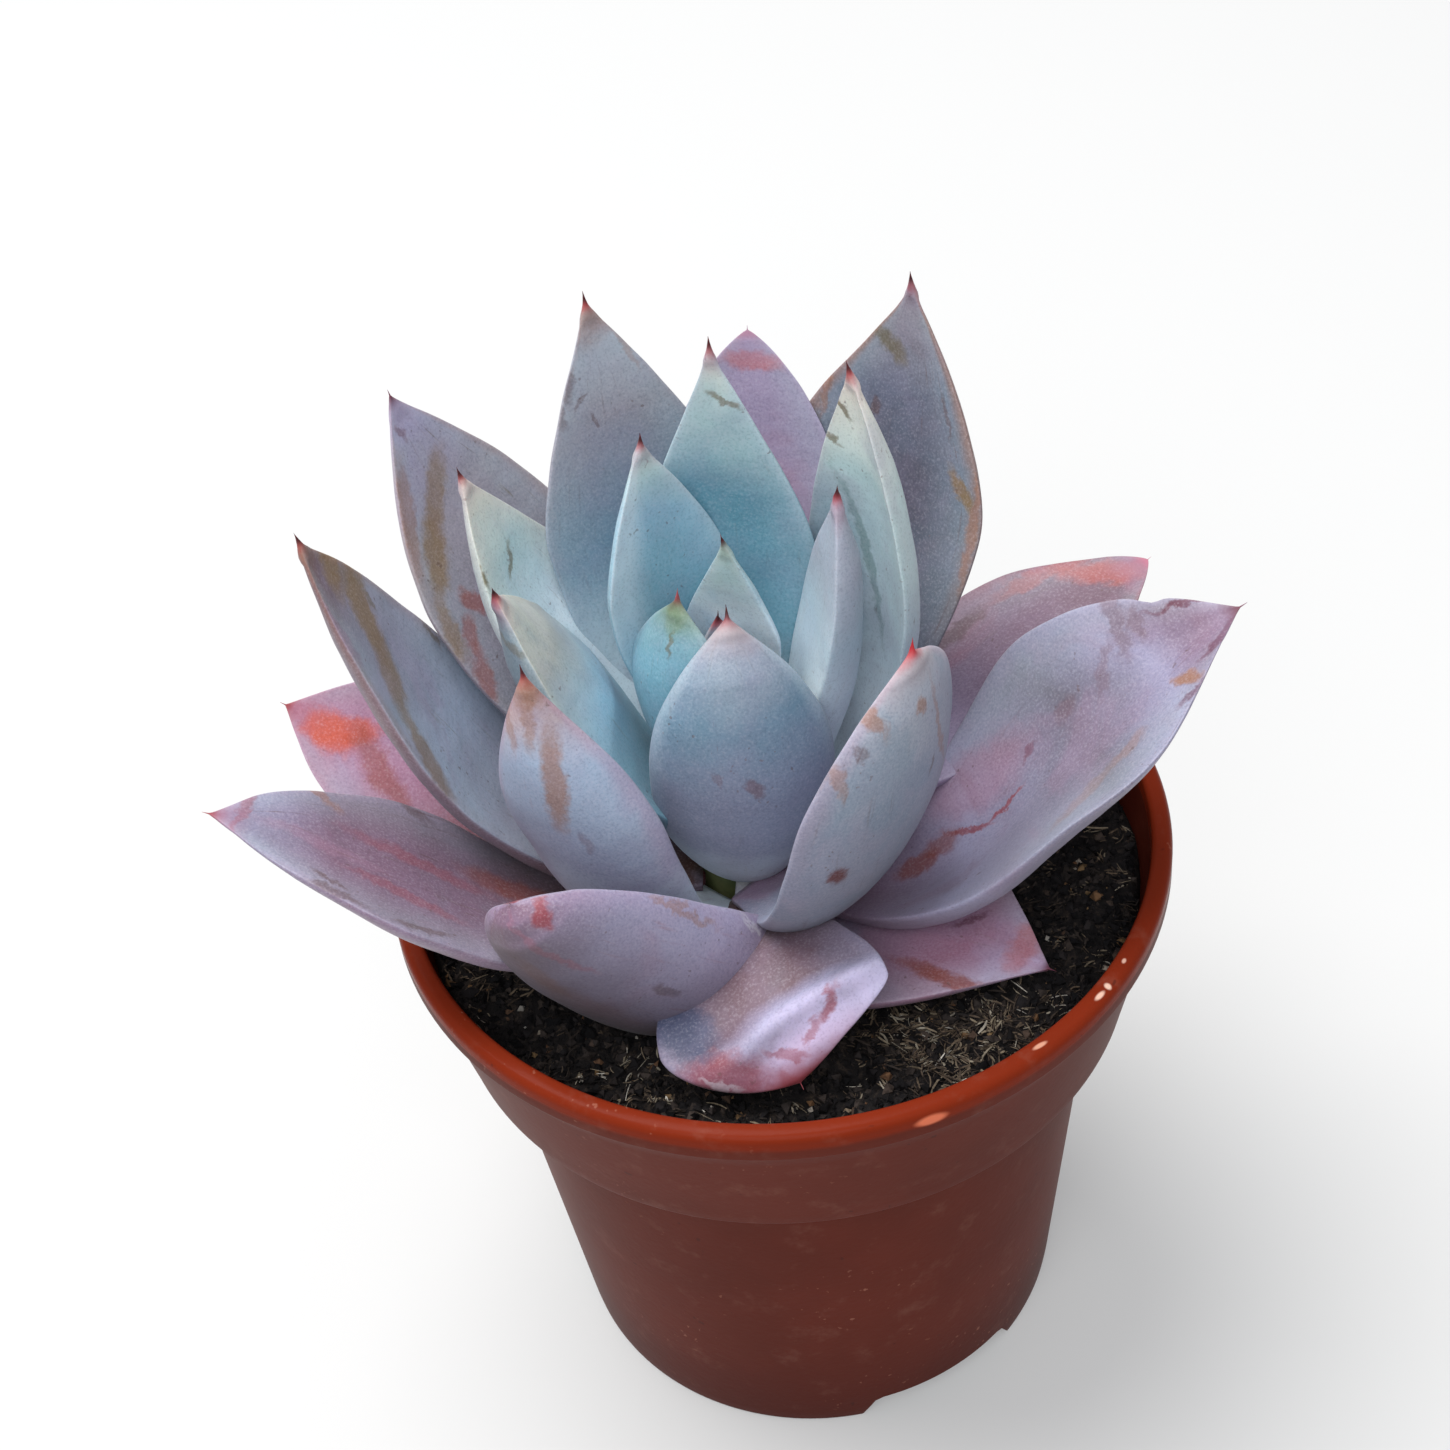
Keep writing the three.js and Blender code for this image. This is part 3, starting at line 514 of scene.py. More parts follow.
def new_object(name, vertices, faces, material=None, smooth=True):
    """A mesh object from millimetres."""
    mesh = bpy.data.meshes.new(name)
    mesh.from_pydata([tuple(v) for v in np.asarray(vertices) * MM], [], faces)
    mesh.update()
    mesh.polygons.foreach_set("use_smooth", [smooth] * len(mesh.polygons))
    if material:
        mesh.materials.append(material)
    return link(bpy.data.objects.new(name, mesh))


def set_values(piece, name, values, kind="FLOAT", field="value"):
    """Stores a value or a vector for every point of a mesh."""
    attribute = piece.data.attributes.new(name, kind, "POINT")
    attribute.data.foreach_set(field, np.asarray(values, np.float32).ravel())


def settle(piece, slot, *nodes):
    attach(piece, "root")
    if nodes:
        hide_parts(*nodes)


def band(first, second, sides):
    """The faces between two rings of vertices, given by their first indices."""
    turns = [(i, (i + 1) % sides) for i in range(sides)]
    return [(first + i, first + j, second + j, second + i) for i, j in turns]


# Leaves

def unit(rows):
    return rows / np.linalg.norm(rows, axis=-1, keepdims=True)


def placed(polar):
    azimuth, radius, height = polar
    turn = math.radians(azimuth)
    return np.array([STEM_X + radius * math.cos(turn), radius * math.sin(turn), height])


def heading(azimuth, rise_deg):
    rise = math.radians(rise_deg)
    return np.array([math.cos(azimuth) * math.cos(rise), math.sin(azimuth) * math.cos(rise), math.sin(rise)])


def leaf_length(leaf):
    return float(np.linalg.norm(placed(leaf["tip"]) - placed(leaf["base"])))


def blade_half(leaf, blade):
    """Half the blade's width in millimetres, at a part of the blade's length."""
    swell = np.sin(np.pi / 2 * np.clip(blade / leaf["belly"], 0, 1)) ** leaf["waist"]
    lower = leaf["root"] + (1 - leaf["root"]) * swell
    past = np.clip((blade - leaf["belly"]) / (1 - leaf["belly"]), 0, 1)
    upper = (1 - past ** leaf["taper"]) ** leaf["point"]
    return leaf["width"] / 2 * np.where(blade < leaf["belly"], lower, upper)


def spike_half(leaf, along):
    """Half the width of the horny spike at the tip, with a concave taper to a hair."""
    start = 1 - SPIKE_LENGTH / leaf_length(leaf)
    part = np.clip((along - start) / (1 - start), 0, 1)
    root = np.clip(part * 4, 0, 1) ** 0.5
    return leaf["spike"] * SPIKE_RADIUS * root * (1 - part) ** 1.25


def joined(first, second):
    """Two widths that run into one another without a step."""
    return (first ** 2.5 + second ** 2.5) ** 0.4


def leaf_frames(leaf, along):
    """Centreline, face direction and direction across along a leaf, one row each."""
    start = placed(leaf["base"])
    end = placed(leaf["tip"])
    run = end - start
    chord = math.atan2(run[1], run[0])
    aims = [math.radians(a) for a in leaf["aim"]] if "aim" in leaf else [chord, chord]
    reach = np.linalg.norm(run) * leaf["full"] / 3
    first = start + reach * heading(aims[0], leaf["rise"][0])
    second = end - reach * heading(aims[1], leaf["rise"][1])
    t = along[:, None]
    u = 1 - t
    point = u ** 3 * start + 3 * u * u * t * first + 3 * u * t * t * second + t ** 3 * end
    way = unit(3 * u * u * (first - start) + 6 * u * t * (second - first) + 3 * t * t * (end - second))
    turn = aims[0] + (aims[1] - aims[0]) * along
    level = np.stack([-np.sin(turn), np.cos(turn), 0 * turn], -1)
    point = point + level * leaf["bow"] * np.sin(np.pi * t)
    upper = unit(np.cross(way, level))
    side = np.cross(upper, way)
    roll = np.radians(leaf["roll"][0] + (leaf["roll"][1] - leaf["roll"][0]) * along)[:, None]
    face = upper * np.cos(roll) + side * np.sin(roll)
    across = side * np.cos(roll) - upper * np.sin(roll)
    past = np.where(along < leaf["belly"], 0, 1 - 2 * blade_half(leaf, along) / leaf["width"])
    point = point + across * (leaf["skew"] * leaf["width"] * (past - along) / 2)[:, None]
    return point, face, across


def leaf_thickness(leaf, t, half, spike):
    """The blade's thickness, which falls towards the tip and closes round the spike."""
    fade = 1 - leaf["thinning"] * np.clip((t - THIN_FROM) / (1 - THIN_FROM), 0, 1) ** 1.5
    thick = leaf["thick"] * fade * np.minimum(1, 0.35 + 0.65 * half / (0.3 * leaf["width"]))
    thick = np.minimum(np.maximum(thick, THINNEST), 3 * half)
    closed = np.where(t < 1, thick, 0.06) * np.clip((1 - t) * 30, 0.05, 1)
    return joined(closed, 2 * spike)


def leaf_lift(leaf, t, half, spike, wide, up):
    """How far the points of each ring lie above the centreline."""
    even = np.clip(spike / half, 0, 1)
    rest = 0.5 - UPPER_SHARE
    share = np.where(up > 0, UPPER_SHARE + rest * even, 1 - UPPER_SHARE - rest * even)
    height = share * leaf_thickness(leaf, t, half, spike) * up
    hollow = leaf["cup"] * half * wide ** 2 * (1 - even)
    crease = leaf["fold"] * half * (np.sqrt(wide ** 2 + 0.01) - 0.1) * (1 - even)
    crest_place, crest_height = leaf["crest"]
    beyond = (t + CREST_SLANT * wide - crest_place) / CREST_WIDTH
    crest = crest_height * np.exp(-beyond ** 2) * np.clip(up + 0.3, 0, 1)
    waves = leaf["wave"] * np.abs(wide) ** 3 * np.sin(WAVE_COUNT * t + 2 * wide) * np.clip(half / 6, 0, 1)
    swell = leaf["swell"] * half * (1 - wide ** 2) * np.clip(up, 0, 1) * np.clip(2 * t, 0, 1) * (1 - even)
    return height + hollow + crease + crest + waves + swell


def leaf_points(leaf, along, angle):
    """The ring of points at each place along a leaf, and half the width there."""
    wide, up = np.cos(angle)[None], np.sin(angle)[None]
    point, face, across = leaf_frames(leaf, along)
    blade = np.clip(along / (1 - BLADE_SHORT * leaf["spike"] / leaf_length(leaf)), 0, 1)
    spike = spike_half(leaf, along)[:, None]
    half = joined(blade_half(leaf, blade)[:, None], spike) + 0.03
    t = along[:, None]
    lift = leaf_lift(leaf, t, half, spike, wide, up)
    nick_place, nick_depth = leaf["nick"]
    past_nick = (t - nick_place) * leaf_length(leaf) / NICK_HALF
    width = half * wide - nick_depth * np.exp(-past_nick ** 2) * np.clip(wide, 0, 1) ** 2
    points = point[:, None] + across[:, None] * width[..., None] + face[:, None] * lift[..., None]
    return points, half[:, 0]


def leaf_faces():
    faces = []
    for row in range(LEAF_ROWS - 1):
        faces += band(row * LEAF_RING, (row + 1) * LEAF_RING, LEAF_RING)
    faces.append(tuple(range(LEAF_RING))[::-1])
    faces.append(tuple((LEAF_ROWS - 1) * LEAF_RING + i for i in range(LEAF_RING)))
    return faces


def dented(points, along, seed):
    """Points of a leaf with the shallow unevenness that grown tissue has."""
    flat = points.reshape(-1, 3)
    shift = Vector((seed * 3.1, seed * 1.7, seed * 2.3))
    calm = np.clip((1 - along) * 12, 0.1, 1)[:, None, None]
    for closeness, height in LEAF_DENTS:
        dents = np.array([noise.noise_vector(Vector(p) * closeness + shift) for p in flat])
        points = points + calm * height * dents.reshape(points.shape)
    return points


def make_leaf(name, number):
    leaf = {**LEAF_DEFAULTS, **LEAVES[name], "number": number}
    along = 1 - (1 - np.linspace(0, 1, LEAF_ROWS)) ** ROW_CROWDING
    angle = 2 * np.pi * np.arange(LEAF_RING) / LEAF_RING
    points, half = leaf_points(leaf, along, angle)
    points = dented(points, along, number)
    piece = new_object("fine_" + name, points.reshape(-1, 3), leaf_faces(), leaf_material(name, leaf))
    wide = np.tile(np.cos(angle), LEAF_ROWS)
    spot = np.stack([np.repeat(along * leaf_length(leaf), LEAF_RING), wide * np.repeat(half, LEAF_RING),
                     np.zeros(wide.size)], -1)
    set_values(piece, "along", np.repeat(along, LEAF_RING))
    set_values(piece, "across", wide)
    set_values(piece, "facing", np.tile(np.sin(angle), LEAF_ROWS))
    set_values(piece, "blade", spot, "FLOAT_VECTOR", "vector")
    slot = next(s["material_slot"] for s in frame["record"]["subparts"] if s["node"] == name)
    settle(piece, slot, name)


def leaf_sockets(tree, leaf):
    """What the layers of a leaf share: its two faces, and places on it."""
    along = tree.attribute("along")
    across = tree.attribute("across")
    top = tree.step(tree.attribute("facing"), -0.12, 0.12)
    place = tree.object_place((leaf["number"] * 0.37, leaf["number"] * 0.21, 0))
    tint = tree.noise(place, 420, 4, 0.62, 0.3, "Color")
    ragged = tree.vector_math("MULTIPLY_ADD", tint, (3.4, 3.4, 0), (-1.7, -1.7, 0))
    return {
        "along": along,
        "across": across,
        "edge": tree.math("ABSOLUTE", across),
        "left": tree.scaled(along, -leaf_length(leaf), leaf_length(leaf)),
        "upper": top,
        "lower": tree.math("SUBTRACT", 1.0, top),
        "place": place,
        "cloud": tree.noise(place, 42, 3, 0.5),
        "blade": tree.vector_math("ADD", tree.attribute("blade", "Vector"), ragged),
    }


def leaf_body(tree, at, leaf):
    """The leaf's tones from base to tip, its flush, a painted highlight in the bands beside its margins,
    painted shade on its lower face, and its margins' tint.
    """
    place, along = at["place"], at["along"]
    tones = leaf["tones"].split()
    zone = tree.math("ADD", along, tree.scaled(at["cloud"], 0.3, -0.15))
    zone = tree.scaled(at["across"], leaf["slant"], zone)
    colour = tree.ramp(zone, list(zip(leaf["places"] or TONE_PLACES[len(tones)], tones)), "LINEAR")

    tone, strength = leaf["flush"]
    colour = tree.over(colour, tone, tree.step(tree.noise(place, 75, 4, 0.55, 0.6), 0.47, 0.64, 0, strength))

    # Painted highlight: a pale band beside each margin on the upper face, where a hollow face would catch
    # the light.
    tone, strength, lean = leaf["rim_highlight"]
    side = tree.scaled(at["across"], lean, at["edge"])
    rim_highlight = tree.times(tree.step(side, 0.25, 1.0), tree.step(along, 0.2, 0.6), at["upper"], strength)
    colour = tree.over(colour, tone, rim_highlight)

    # Painted shade over the lower face.
    tone, strength = leaf["under_shade"]
    colour = tree.over(colour, tone, tree.times(at["lower"], strength))

    tone, strength = leaf["margin"]
    border = tree.scaled(tree.noise(place, 190, 3), 0.16, at["edge"])
    margin = tree.times(tree.step(border, 0.88, 1.06), tree.step(along, 0.25, 0.8, 0, strength))
    return tree.over(colour, tone, margin)


def leaf_streaks(tree, colour, at, leaf):
    """Chance marks that follow the fibres of the blade."""
    tone, strength = leaf["streak"]
    grain = tree.vector(tree.times(at["along"], 2.4), tree.times(at["across"], 5.0), leaf["number"] * 1.7)
    fibre = tree.noise(grain, 3.2, 6, 0.62, 0.3)
    streak = tree.times(tree.step(fibre, 0.58, 0.70), tree.step(tree.noise(at["place"], 60, 2), 0.42, 0.62),
                        strength)
    return tree.over(colour, tone, streak)


def leaf_marks(tree, colour, at, leaf):
    """The blemishes that have a place of their own."""
    length = leaf_length(leaf)
    for side in ("upper", "lower"):
        for tone, along, across, half_long, half_wide, turn, strength in leaf[side]:
            half = float(blade_half(leaf, np.array([along]))[0])
            amount = tree.spot(at["blade"], (along * length, across * half, 0), (half_long, half_wide, 1),
                               turn, 1.35, 0.55, strength)
            colour = tree.over(colour, tone, tree.times(amount, at[side]))
    return colour


def leaf_specks(tree, colour, at, leaf):
    """Small brown dots, and dashes along the blade, in patches."""
    patchy = tree.step(tree.noise(at["place"], 65, 1), 0.48, 0.6)
    dots = tree.noise(at["place"], 950, 1)
    lengthwise = tree.vector(tree.times(at["along"], 9), tree.times(at["across"], 26), leaf["number"])
    dashes = tree.noise(lengthwise, 2.6, 2, 0.5, 1.2)
    for tone, grain in (("brown", dots), ("umber", dashes)):
        amount = tree.step(grain, 0.70, 0.76, 0, leaf["specks"])
        colour = tree.over(colour, tone, tree.times(amount, patchy))
    return colour


def leaf_powder(tree, colour, at, leaf):
    """The waxy bloom: a fine grain of light and dark, and thicker clouds of it."""
    grain = tree.noise(at["place"], 2600, 3, 0.6)
    colour = tree.over(colour, "white", tree.step(grain, 0.5, 0.68, 0, 0.14))
    colour = tree.over(colour, "dusk", tree.step(grain, 0.5, 0.32, 0, 0.2), "MULTIPLY")
    tone, strength = leaf["bloom"]
    powder = tree.step(tree.noise(at["place"], 150, 5, 0.68), 0.40, 0.66, 0, strength)
    return tree.over(colour, tone, powder)


def leaf_horn(tree, colour, at, leaf):
    """The glow and the ring below the horny spike, and the spike's own colour."""
    spike, ring, ring_strength, glow, glow_strength = leaf["horn"]
    ragged = tree.scaled(tree.noise(at["place"], 260, 3), 2.6, tree.math("SUBTRACT", at["left"], 1.3))
    colour = tree.over(colour, glow, tree.step(ragged, *TIP_GLOW, 0, glow_strength))
    colour = tree.over(colour, ring, tree.step(ragged, *TIP_RING, 0, ring_strength))
    if ring_strength:
        colour = tree.over(colour, spike, tree.step(at["left"], *TIP_SPIKE))
    return colour


def leaf_shade(tree, colour, at, leaf):
    """Painted shade: a darker tone on what faces down."""
    if not leaf["dark"]:
        return colour
    lean = tree.parts(tree.add("NewGeometry")["Normal"])[2]
    return tree.over(colour, "brown", tree.step(lean, 0.6, -0.6, 0, leaf["dark"]), "MULTIPLY")


def leaf_material(name, leaf):
    tree = Tree("waxy_" + name)
    at = leaf_sockets(tree, leaf)
    colour = leaf_body(tree, at, leaf)
    for layer in (leaf_streaks, leaf_marks, leaf_specks, leaf_powder, leaf_horn, leaf_shade):
        colour = layer(tree, colour, at, leaf)
    soft = tree.bump(tree.noise(at["place"], 130, 3), 0.35, 0.001)
    normal = tree.bump(tree.noise(at["place"], 1300, 3, 0.6), 0.2, 0.0002, soft)
    rough = tree.scaled(at["cloud"], 0.25, leaf["gloss"])
    return tree.finish(colour, rough, Normal=normal, Subsurface_Weight=0.14, Subsurface_Scale=0.003,
                       Subsurface_Radius=(1.0, 0.7, 0.6), Sheen_Weight=0.06, Sheen_Roughness=0.5,
                       Specular_IOR_Level=0.35)


# Pot

def arc(centre, radius, start_deg, end_deg, steps):
    """Points of an arc in a profile, as radius and height."""
    turns = np.radians(np.linspace(start_deg, end_deg, steps))
    return [(centre[0] + radius * math.cos(a), centre[1] + radius * math.sin(a)) for a in turns]


def ring(radius, height, sides, middle_x=0):
    turns = [2 * math.pi * i / sides for i in range(sides)]
    return [(middle_x + radius * math.cos(t), radius * math.sin(t), height) for t in turns]


def lathe(profile, sides):
    """Vertices and faces of a profile turned about Z, which starts and ends on the axis."""
    vertices = [(0, 0, profile[0][1]), (0, 0, profile[-1][1])]
    inner = profile[1:-1]
    for radius, height in inner:
        vertices += ring(radius, height, sides)
    last = 2 + (len(inner) - 1) * sides
    faces = []
    for i in range(sides):
        j = (i + 1) % sides
        faces += [(0, 2 + j, 2 + i), (1, last + i, last + j)]
    for row in range(len(inner) - 1):
        faces += band(2 + row * sides, 2 + (row + 1) * sides, sides)
    return vertices, faces


def pot_profile():
    """The wall's section as radius and height, from the underside up and down the inside."""
    step = POT_HEIGHT - COLLAR_HEIGHT
    lip_foot = POT_HEIGHT - LIP_DEPTH
    mouth = RIM_RADIUS - LIP_WIDTH
    body_slope = (BODY_TOP_RADIUS - BASE_RADIUS) / (step - 0.8)
    collar_slope = (COLLAR_TOP_RADIUS - COLLAR_FOOT_RADIUS) / (lip_foot - step)
    profile = [(0, 0), (BASE_RADIUS - 6, 0)]
    profile += arc((BASE_RADIUS - FOOT_ROUND, FOOT_ROUND), FOOT_ROUND, -90, -5, 5)
    profile += [(BASE_RADIUS + body_slope * z, z) for z in (3, 8, 20, 34, 48, 60, 68)]
    profile += [(BODY_TOP_RADIUS - 0.02, step - 1.3), (BODY_TOP_RADIUS + 0.5, step - 0.8)]
    profile += arc((COLLAR_FOOT_RADIUS - STEP_ROUND, step - 0.1), STEP_ROUND, -90, -10, 5)
    profile += [(COLLAR_FOOT_RADIUS + collar_slope * z, step + z) for z in (1.5, 6, 12, 18)]
    profile += [(COLLAR_TOP_RADIUS, lip_foot - 0.3), (COLLAR_TOP_RADIUS + 0.35, lip_foot)]
    profile += arc((RIM_RADIUS - LIP_FOOT_ROUND, lip_foot + LIP_FOOT_ROUND), LIP_FOOT_ROUND, -90, 0, 4)
    profile += arc((RIM_RADIUS - LIP_OUTER_ROUND, POT_HEIGHT - 1.6), LIP_OUTER_ROUND, 5, 90, 7)
    profile += arc((mouth + LIP_INNER_ROUND, POT_HEIGHT - LIP_INNER_ROUND), LIP_INNER_ROUND, 90, 180, 5)
    profile += [(mouth - 0.25, lip_foot), (COLLAR_FOOT_RADIUS - WALL, step + WALL - 0.8)]
    profile += [(BODY_TOP_RADIUS - WALL, step + WALL - 0.8), (BASE_RADIUS - WALL, FLOOR_THICKNESS)]
    return profile + [(0, FLOOR_THICKNESS)]


def cut_away(piece, vertices, faces):
    """Takes a closed shape out of a piece."""
    cutter = new_object("cutter", vertices, faces, smooth=False)
    modifier = piece.modifiers.new("cut", "BOOLEAN")
    modifier.object = cutter
    modifier.solver = "EXACT"
    with bpy.context.temp_override(object=piece, active_object=piece, selected_objects=[piece]):
        bpy.ops.object.modifier_apply(modifier="cut")
    mesh = cutter.data
    bpy.data.objects.remove(cutter)
    bpy.data.meshes.remove(mesh)


def notch_shape(number, grow=0.0):
    """The space of one low arch through the pot's foot."""
    foot, top, height = NOTCH_WIDTH / 2 + grow, NOTCH_TOP_WIDTH / 2 + grow, NOTCH_HEIGHT + grow
    outline = [(-foot, -height), (foot, -height), (foot, 0), (top + 0.8, height - 0.6),
               (top - 0.6, height), (0.6 - top, height), (-0.8 - top, height - 0.6), (-foot, 0)]
    turn = math.radians(FIRST_NOTCH_DEG) + 2 * math.pi * number / NOTCHES
    out = np.array([math.cos(turn), math.sin(turn), 0])
    side = np.array([-math.sin(turn), math.cos(turn), 0])
    vertices = []
    for depth in (BASE_RADIUS - NOTCH_DEPTH - grow, BASE_RADIUS + NOTCH_DEPTH):
        vertices += [out * depth + side * y + np.array([0, 0, z]) for y, z in outline]
    n = len(outline)
    return vertices, [tuple(range(n))[::-1], tuple(range(n, 2 * n))] + band(0, n, n)


def hole_shape(number):
    turn = 2 * math.pi * number / DRAIN_HOLES + math.radians(FIRST_NOTCH_DEG + 60)
    x, y = DRAIN_CIRCLE * math.cos(turn), DRAIN_CIRCLE * math.sin(turn)
    vertices, faces = lathe([(0, -4), (DRAIN_RADIUS, -4), (DRAIN_RADIUS, 6), (0, 6)], 32)
    return [(a + x, b + y, c) for a, b, c in vertices], faces


def make_pot():
    vertices, faces = lathe(pot_profile(), POT_SIDES)
    piece = new_object("moulded_pot", vertices, faces, pot_material())
    for i in range(NOTCHES):
        cut_away(piece, *notch_shape(i))
    for i in range(DRAIN_HOLES):
        cut_away(piece, *hole_shape(i))
    edges = piece.modifiers.new("sharp", "EDGE_SPLIT")
    edges.split_angle = math.radians(SHARP_EDGE_DEG)
    settle(piece, "pot_plastic", "pot")


def pot_material():
    """Red-brown plastic with dust, scuffs, pits, the marks that have a place, and painted shade towards the
    foot.
    """
    tree = Tree("terracotta_plastic")
    place = tree.object_place()
    height = tree.parts(place)[2]
    colour = tree.ramp(tree.noise(place, 22, 4, 0.6), [(0.3, POT_BODY_DARK), (0.7, POT_BODY_LIGHT)])
    # Painted shade: darker towards the foot.
    colour = tree.over(colour, POT_FOOT_SHADE, tree.step(height, 26 * MM, 2 * MM, 0, 0.6))
    ragged = tree.scaled(tree.noise(place, 120, 3), 0.8 * MM, height)
    lip_start = POT_HEIGHT - LIP_TINT_DEPTH
    lip = tree.step(ragged, (lip_start - 0.3) * MM, (lip_start + 0.9) * MM)
    colour = tree.over(colour, POT_LIP, lip)
    dust = tree.step(tree.noise(place, 150, 4, 0.65), 0.55, 0.8, 0, 0.16)
    colour = tree.over(colour, POT_DUST, dust)
    scuffs = tree.times(tree.step(tree.noise(place, 700, 2, 0.6), 0.66, 0.74, 0, 0.35),
                        tree.step(tree.noise(place, 38, 1), 0.5, 0.62))
    colour = tree.over(colour, POT_SCUFF, scuffs)
    colour = tree.over(colour, POT_PIT, tree.step(tree.noise(place, 520, 1), 0.75, 0.8, 0, 0.5))
    for tone, centre, half_sizes, turn, strength in POT_MARKS:
        centre, half_sizes = [c * MM for c in centre], [s * MM for s in half_sizes]
        colour = tree.over(colour, tone, tree.spot(place, centre, half_sizes, turn, 1.3, 0.6, strength))
    normal = tree.bump(tree.noise(place, 900, 2), 0.1, 0.0003)
    normal = tree.bump(tree.noise(place, 60, 2), 0.1, 0.001, normal)
    rough = tree.step(lip, 0, 1, 0.42, 0.26)
    return tree.finish(colour, rough, Normal=normal, Subsurface_Weight=0.03, Subsurface_Scale=0.002,
                       Specular_IOR_Level=0.04)


# Potting mix

def soil_height(x, y):
    lumps = 0.7 * math.sin(0.21 * x + 1.3) * math.cos(0.18 * y - 0.6)
    crumbs = 0.45 * math.sin(0.47 * x - 0.33 * y) + 0.3 * math.cos(0.61 * y + 0.29 * x + 2)
    rough = noise.fractal(Vector((x * 0.16, y * 0.16, 4)), 0.7, 2.1, 5)
    return SOIL_LEVEL + lumps + crumbs + 0.9 * rough


def soil_ring(part, hole):
    """A ring of the surface, at a part of the way from the stem's hole to the wall."""
    vertices = []
    drop = SOIL_DROP * max(0, part - SOIL_DROP_FROM) / (1 - SOIL_DROP_FROM)
    for x, y, _ in ring(hole + (SOIL_EDGE - hole) * part, 0, SOIL_SIDES, STEM_X * (1 - part)):
        vertices.append((x, y, soil_height(x, y) - drop))
    return vertices


def make_soil():
    """The filling of the pot, one closed body with a rough top and a hole for the stem."""
    hole = STEM_RADIUS + GAP
    step = POT_HEIGHT - COLLAR_HEIGHT + WALL - 0.8 + GAP
    foot = STEM_FOOT - GAP
    rings = [ring(hole, foot, SOIL_SIDES, STEM_X)]
    rings += [soil_ring(i / (SOIL_RINGS - 1), hole) for i in range(SOIL_RINGS)]
    for radius, height in [(COLLAR_FOOT_RADIUS, step), (BODY_TOP_RADIUS, step),
                           (BASE_RADIUS, FLOOR_THICKNESS + GAP)]:
        rings.append(ring(radius - WALL - GAP, height, SOIL_SIDES))
    vertices = [(STEM_X, 0, foot)] + sum(rings, []) + [(0, 0, FLOOR_THICKNESS + GAP)]
    last_ring = 1 + (len(rings) - 1) * SOIL_SIDES
    faces = []
    for i in range(SOIL_SIDES):
        j = (i + 1) % SOIL_SIDES
        faces += [(0, 1 + i, 1 + j), (last_ring + j, last_ring + i, len(vertices) - 1)]
    for row in range(len(rings) - 1):
        faces += [face[::-1] for face in band(1 + row * SOIL_SIDES, 1 + (row + 1) * SOIL_SIDES, SOIL_SIDES)]
    piece = new_object("peat_bed", vertices, faces, soil_material())
    for i in range(NOTCHES):
        cut_away(piece, *notch_shape(i, GAP))
    settle(piece, "potting_mix", "soil")


def soil_material():
    tree = Tree("peat")
    mixed = tree.noise(tree.object_place(), 420, 6, 0.7)
    colour = tree.ramp(mixed, SOIL_COLOURS)
    return tree.finish(colour, 0.9, Normal=tree.bump(mixed, 0.8, 0.002), Specular_IOR_Level=0.15)


def add_loose(name, vertices, faces, tints, colours):
    """One mesh of many loose pieces, each coloured from its own value."""
    tree = Tree(name)
    worn = tree.noise(tree.object_place(), 1200, 3)
    colour = tree.ramp(tree.attribute("tint"), colours, "LINEAR")
    colour = tree.over(colour, WORN, tree.step(worn, 0.42, 0.7, 0, 0.6), "MULTIPLY")
    material = tree.finish(colour, 0.85, Normal=tree.bump(worn, 0.5, 0.0004), Specular_IOR_Level=0.15)
    piece = new_object("peat_" + name, vertices, faces, material, smooth=False)
    set_values(piece, "tint", tints)
    settle(piece, "potting_mix")


def near_stem(x, y):
    return math.hypot(x - STEM_X, y) < STEM_RADIUS + 1


def soil_spot(draw):
    """A place on the open soil."""
    while True:
        radius = SOIL_EDGE * math.sqrt(draw.random()) * 0.985
        turn = draw.uniform(0, 2 * math.pi)
        x, y = radius * math.cos(turn), radius * math.sin(turn)
        if not near_stem(x, y):
            return x, y


def fibre_spot(draw):
    """A place for a bundle of fibres, which mostly lie in tangles, and how tangled it is there."""
    while True:
        x, y = soil_spot(draw)
        tangle = 0.09 + 0.35 * max(0, noise.noise(Vector((x * 0.09, y * 0.09, 8))) * 2)
        for centre_x, centre_y, reach, share in FIBRE_TANGLES:
            tangle += share * math.exp(-((x - centre_x) ** 2 + (y - centre_y) ** 2) / reach ** 2)
        if draw.random() < tangle:
            return x, y, min(1, tangle)


def make_crumbs():
    """Loose crumbs of peat, each a stretched octahedron with uneven corners."""
    draw = random.Random(11)
    vertices, faces, tints = [], [], []
    corners = [(1, 0, 0), (0, 1, 0), (-1, 0, 0), (0, -1, 0), (0, 0, 1), (0, 0, -1)]
    sides = [(0, 1, 4), (1, 2, 4), (2, 3, 4), (3, 0, 4), (1, 0, 5), (2, 1, 5), (3, 2, 5), (0, 3, 5)]
    for _ in range(CRUMBS):
        x, y = soil_spot(draw)
        size = 0.22 + 0.95 * draw.random() ** 3
        turn = Matrix.Rotation(draw.uniform(0, 6.3), 3, "Z") @ Matrix.Rotation(draw.uniform(0, 3.1), 3, "X")
        stretch = [draw.uniform(0.6, 1.4) for _ in range(3)]
        centre = Vector((x, y, soil_height(x, y) + 0.25 * size))
        first = len(vertices)
        tint = 0.62 * draw.random() ** 1.6
        if draw.random() < PALE_CRUMBS:
            tint = draw.uniform(0.62, 1)
        for corner in corners:
            scaled = Vector([c * s * size * draw.uniform(0.7, 1.2) for c, s in zip(corner, stretch)])
            vertices.append(tuple(centre + turn @ scaled))
            tints.append(tint)
        faces += [tuple(first + i for i in side) for side in sides]
    add_loose("crumbs", vertices, faces, tints, CRUMB_COLOURS)


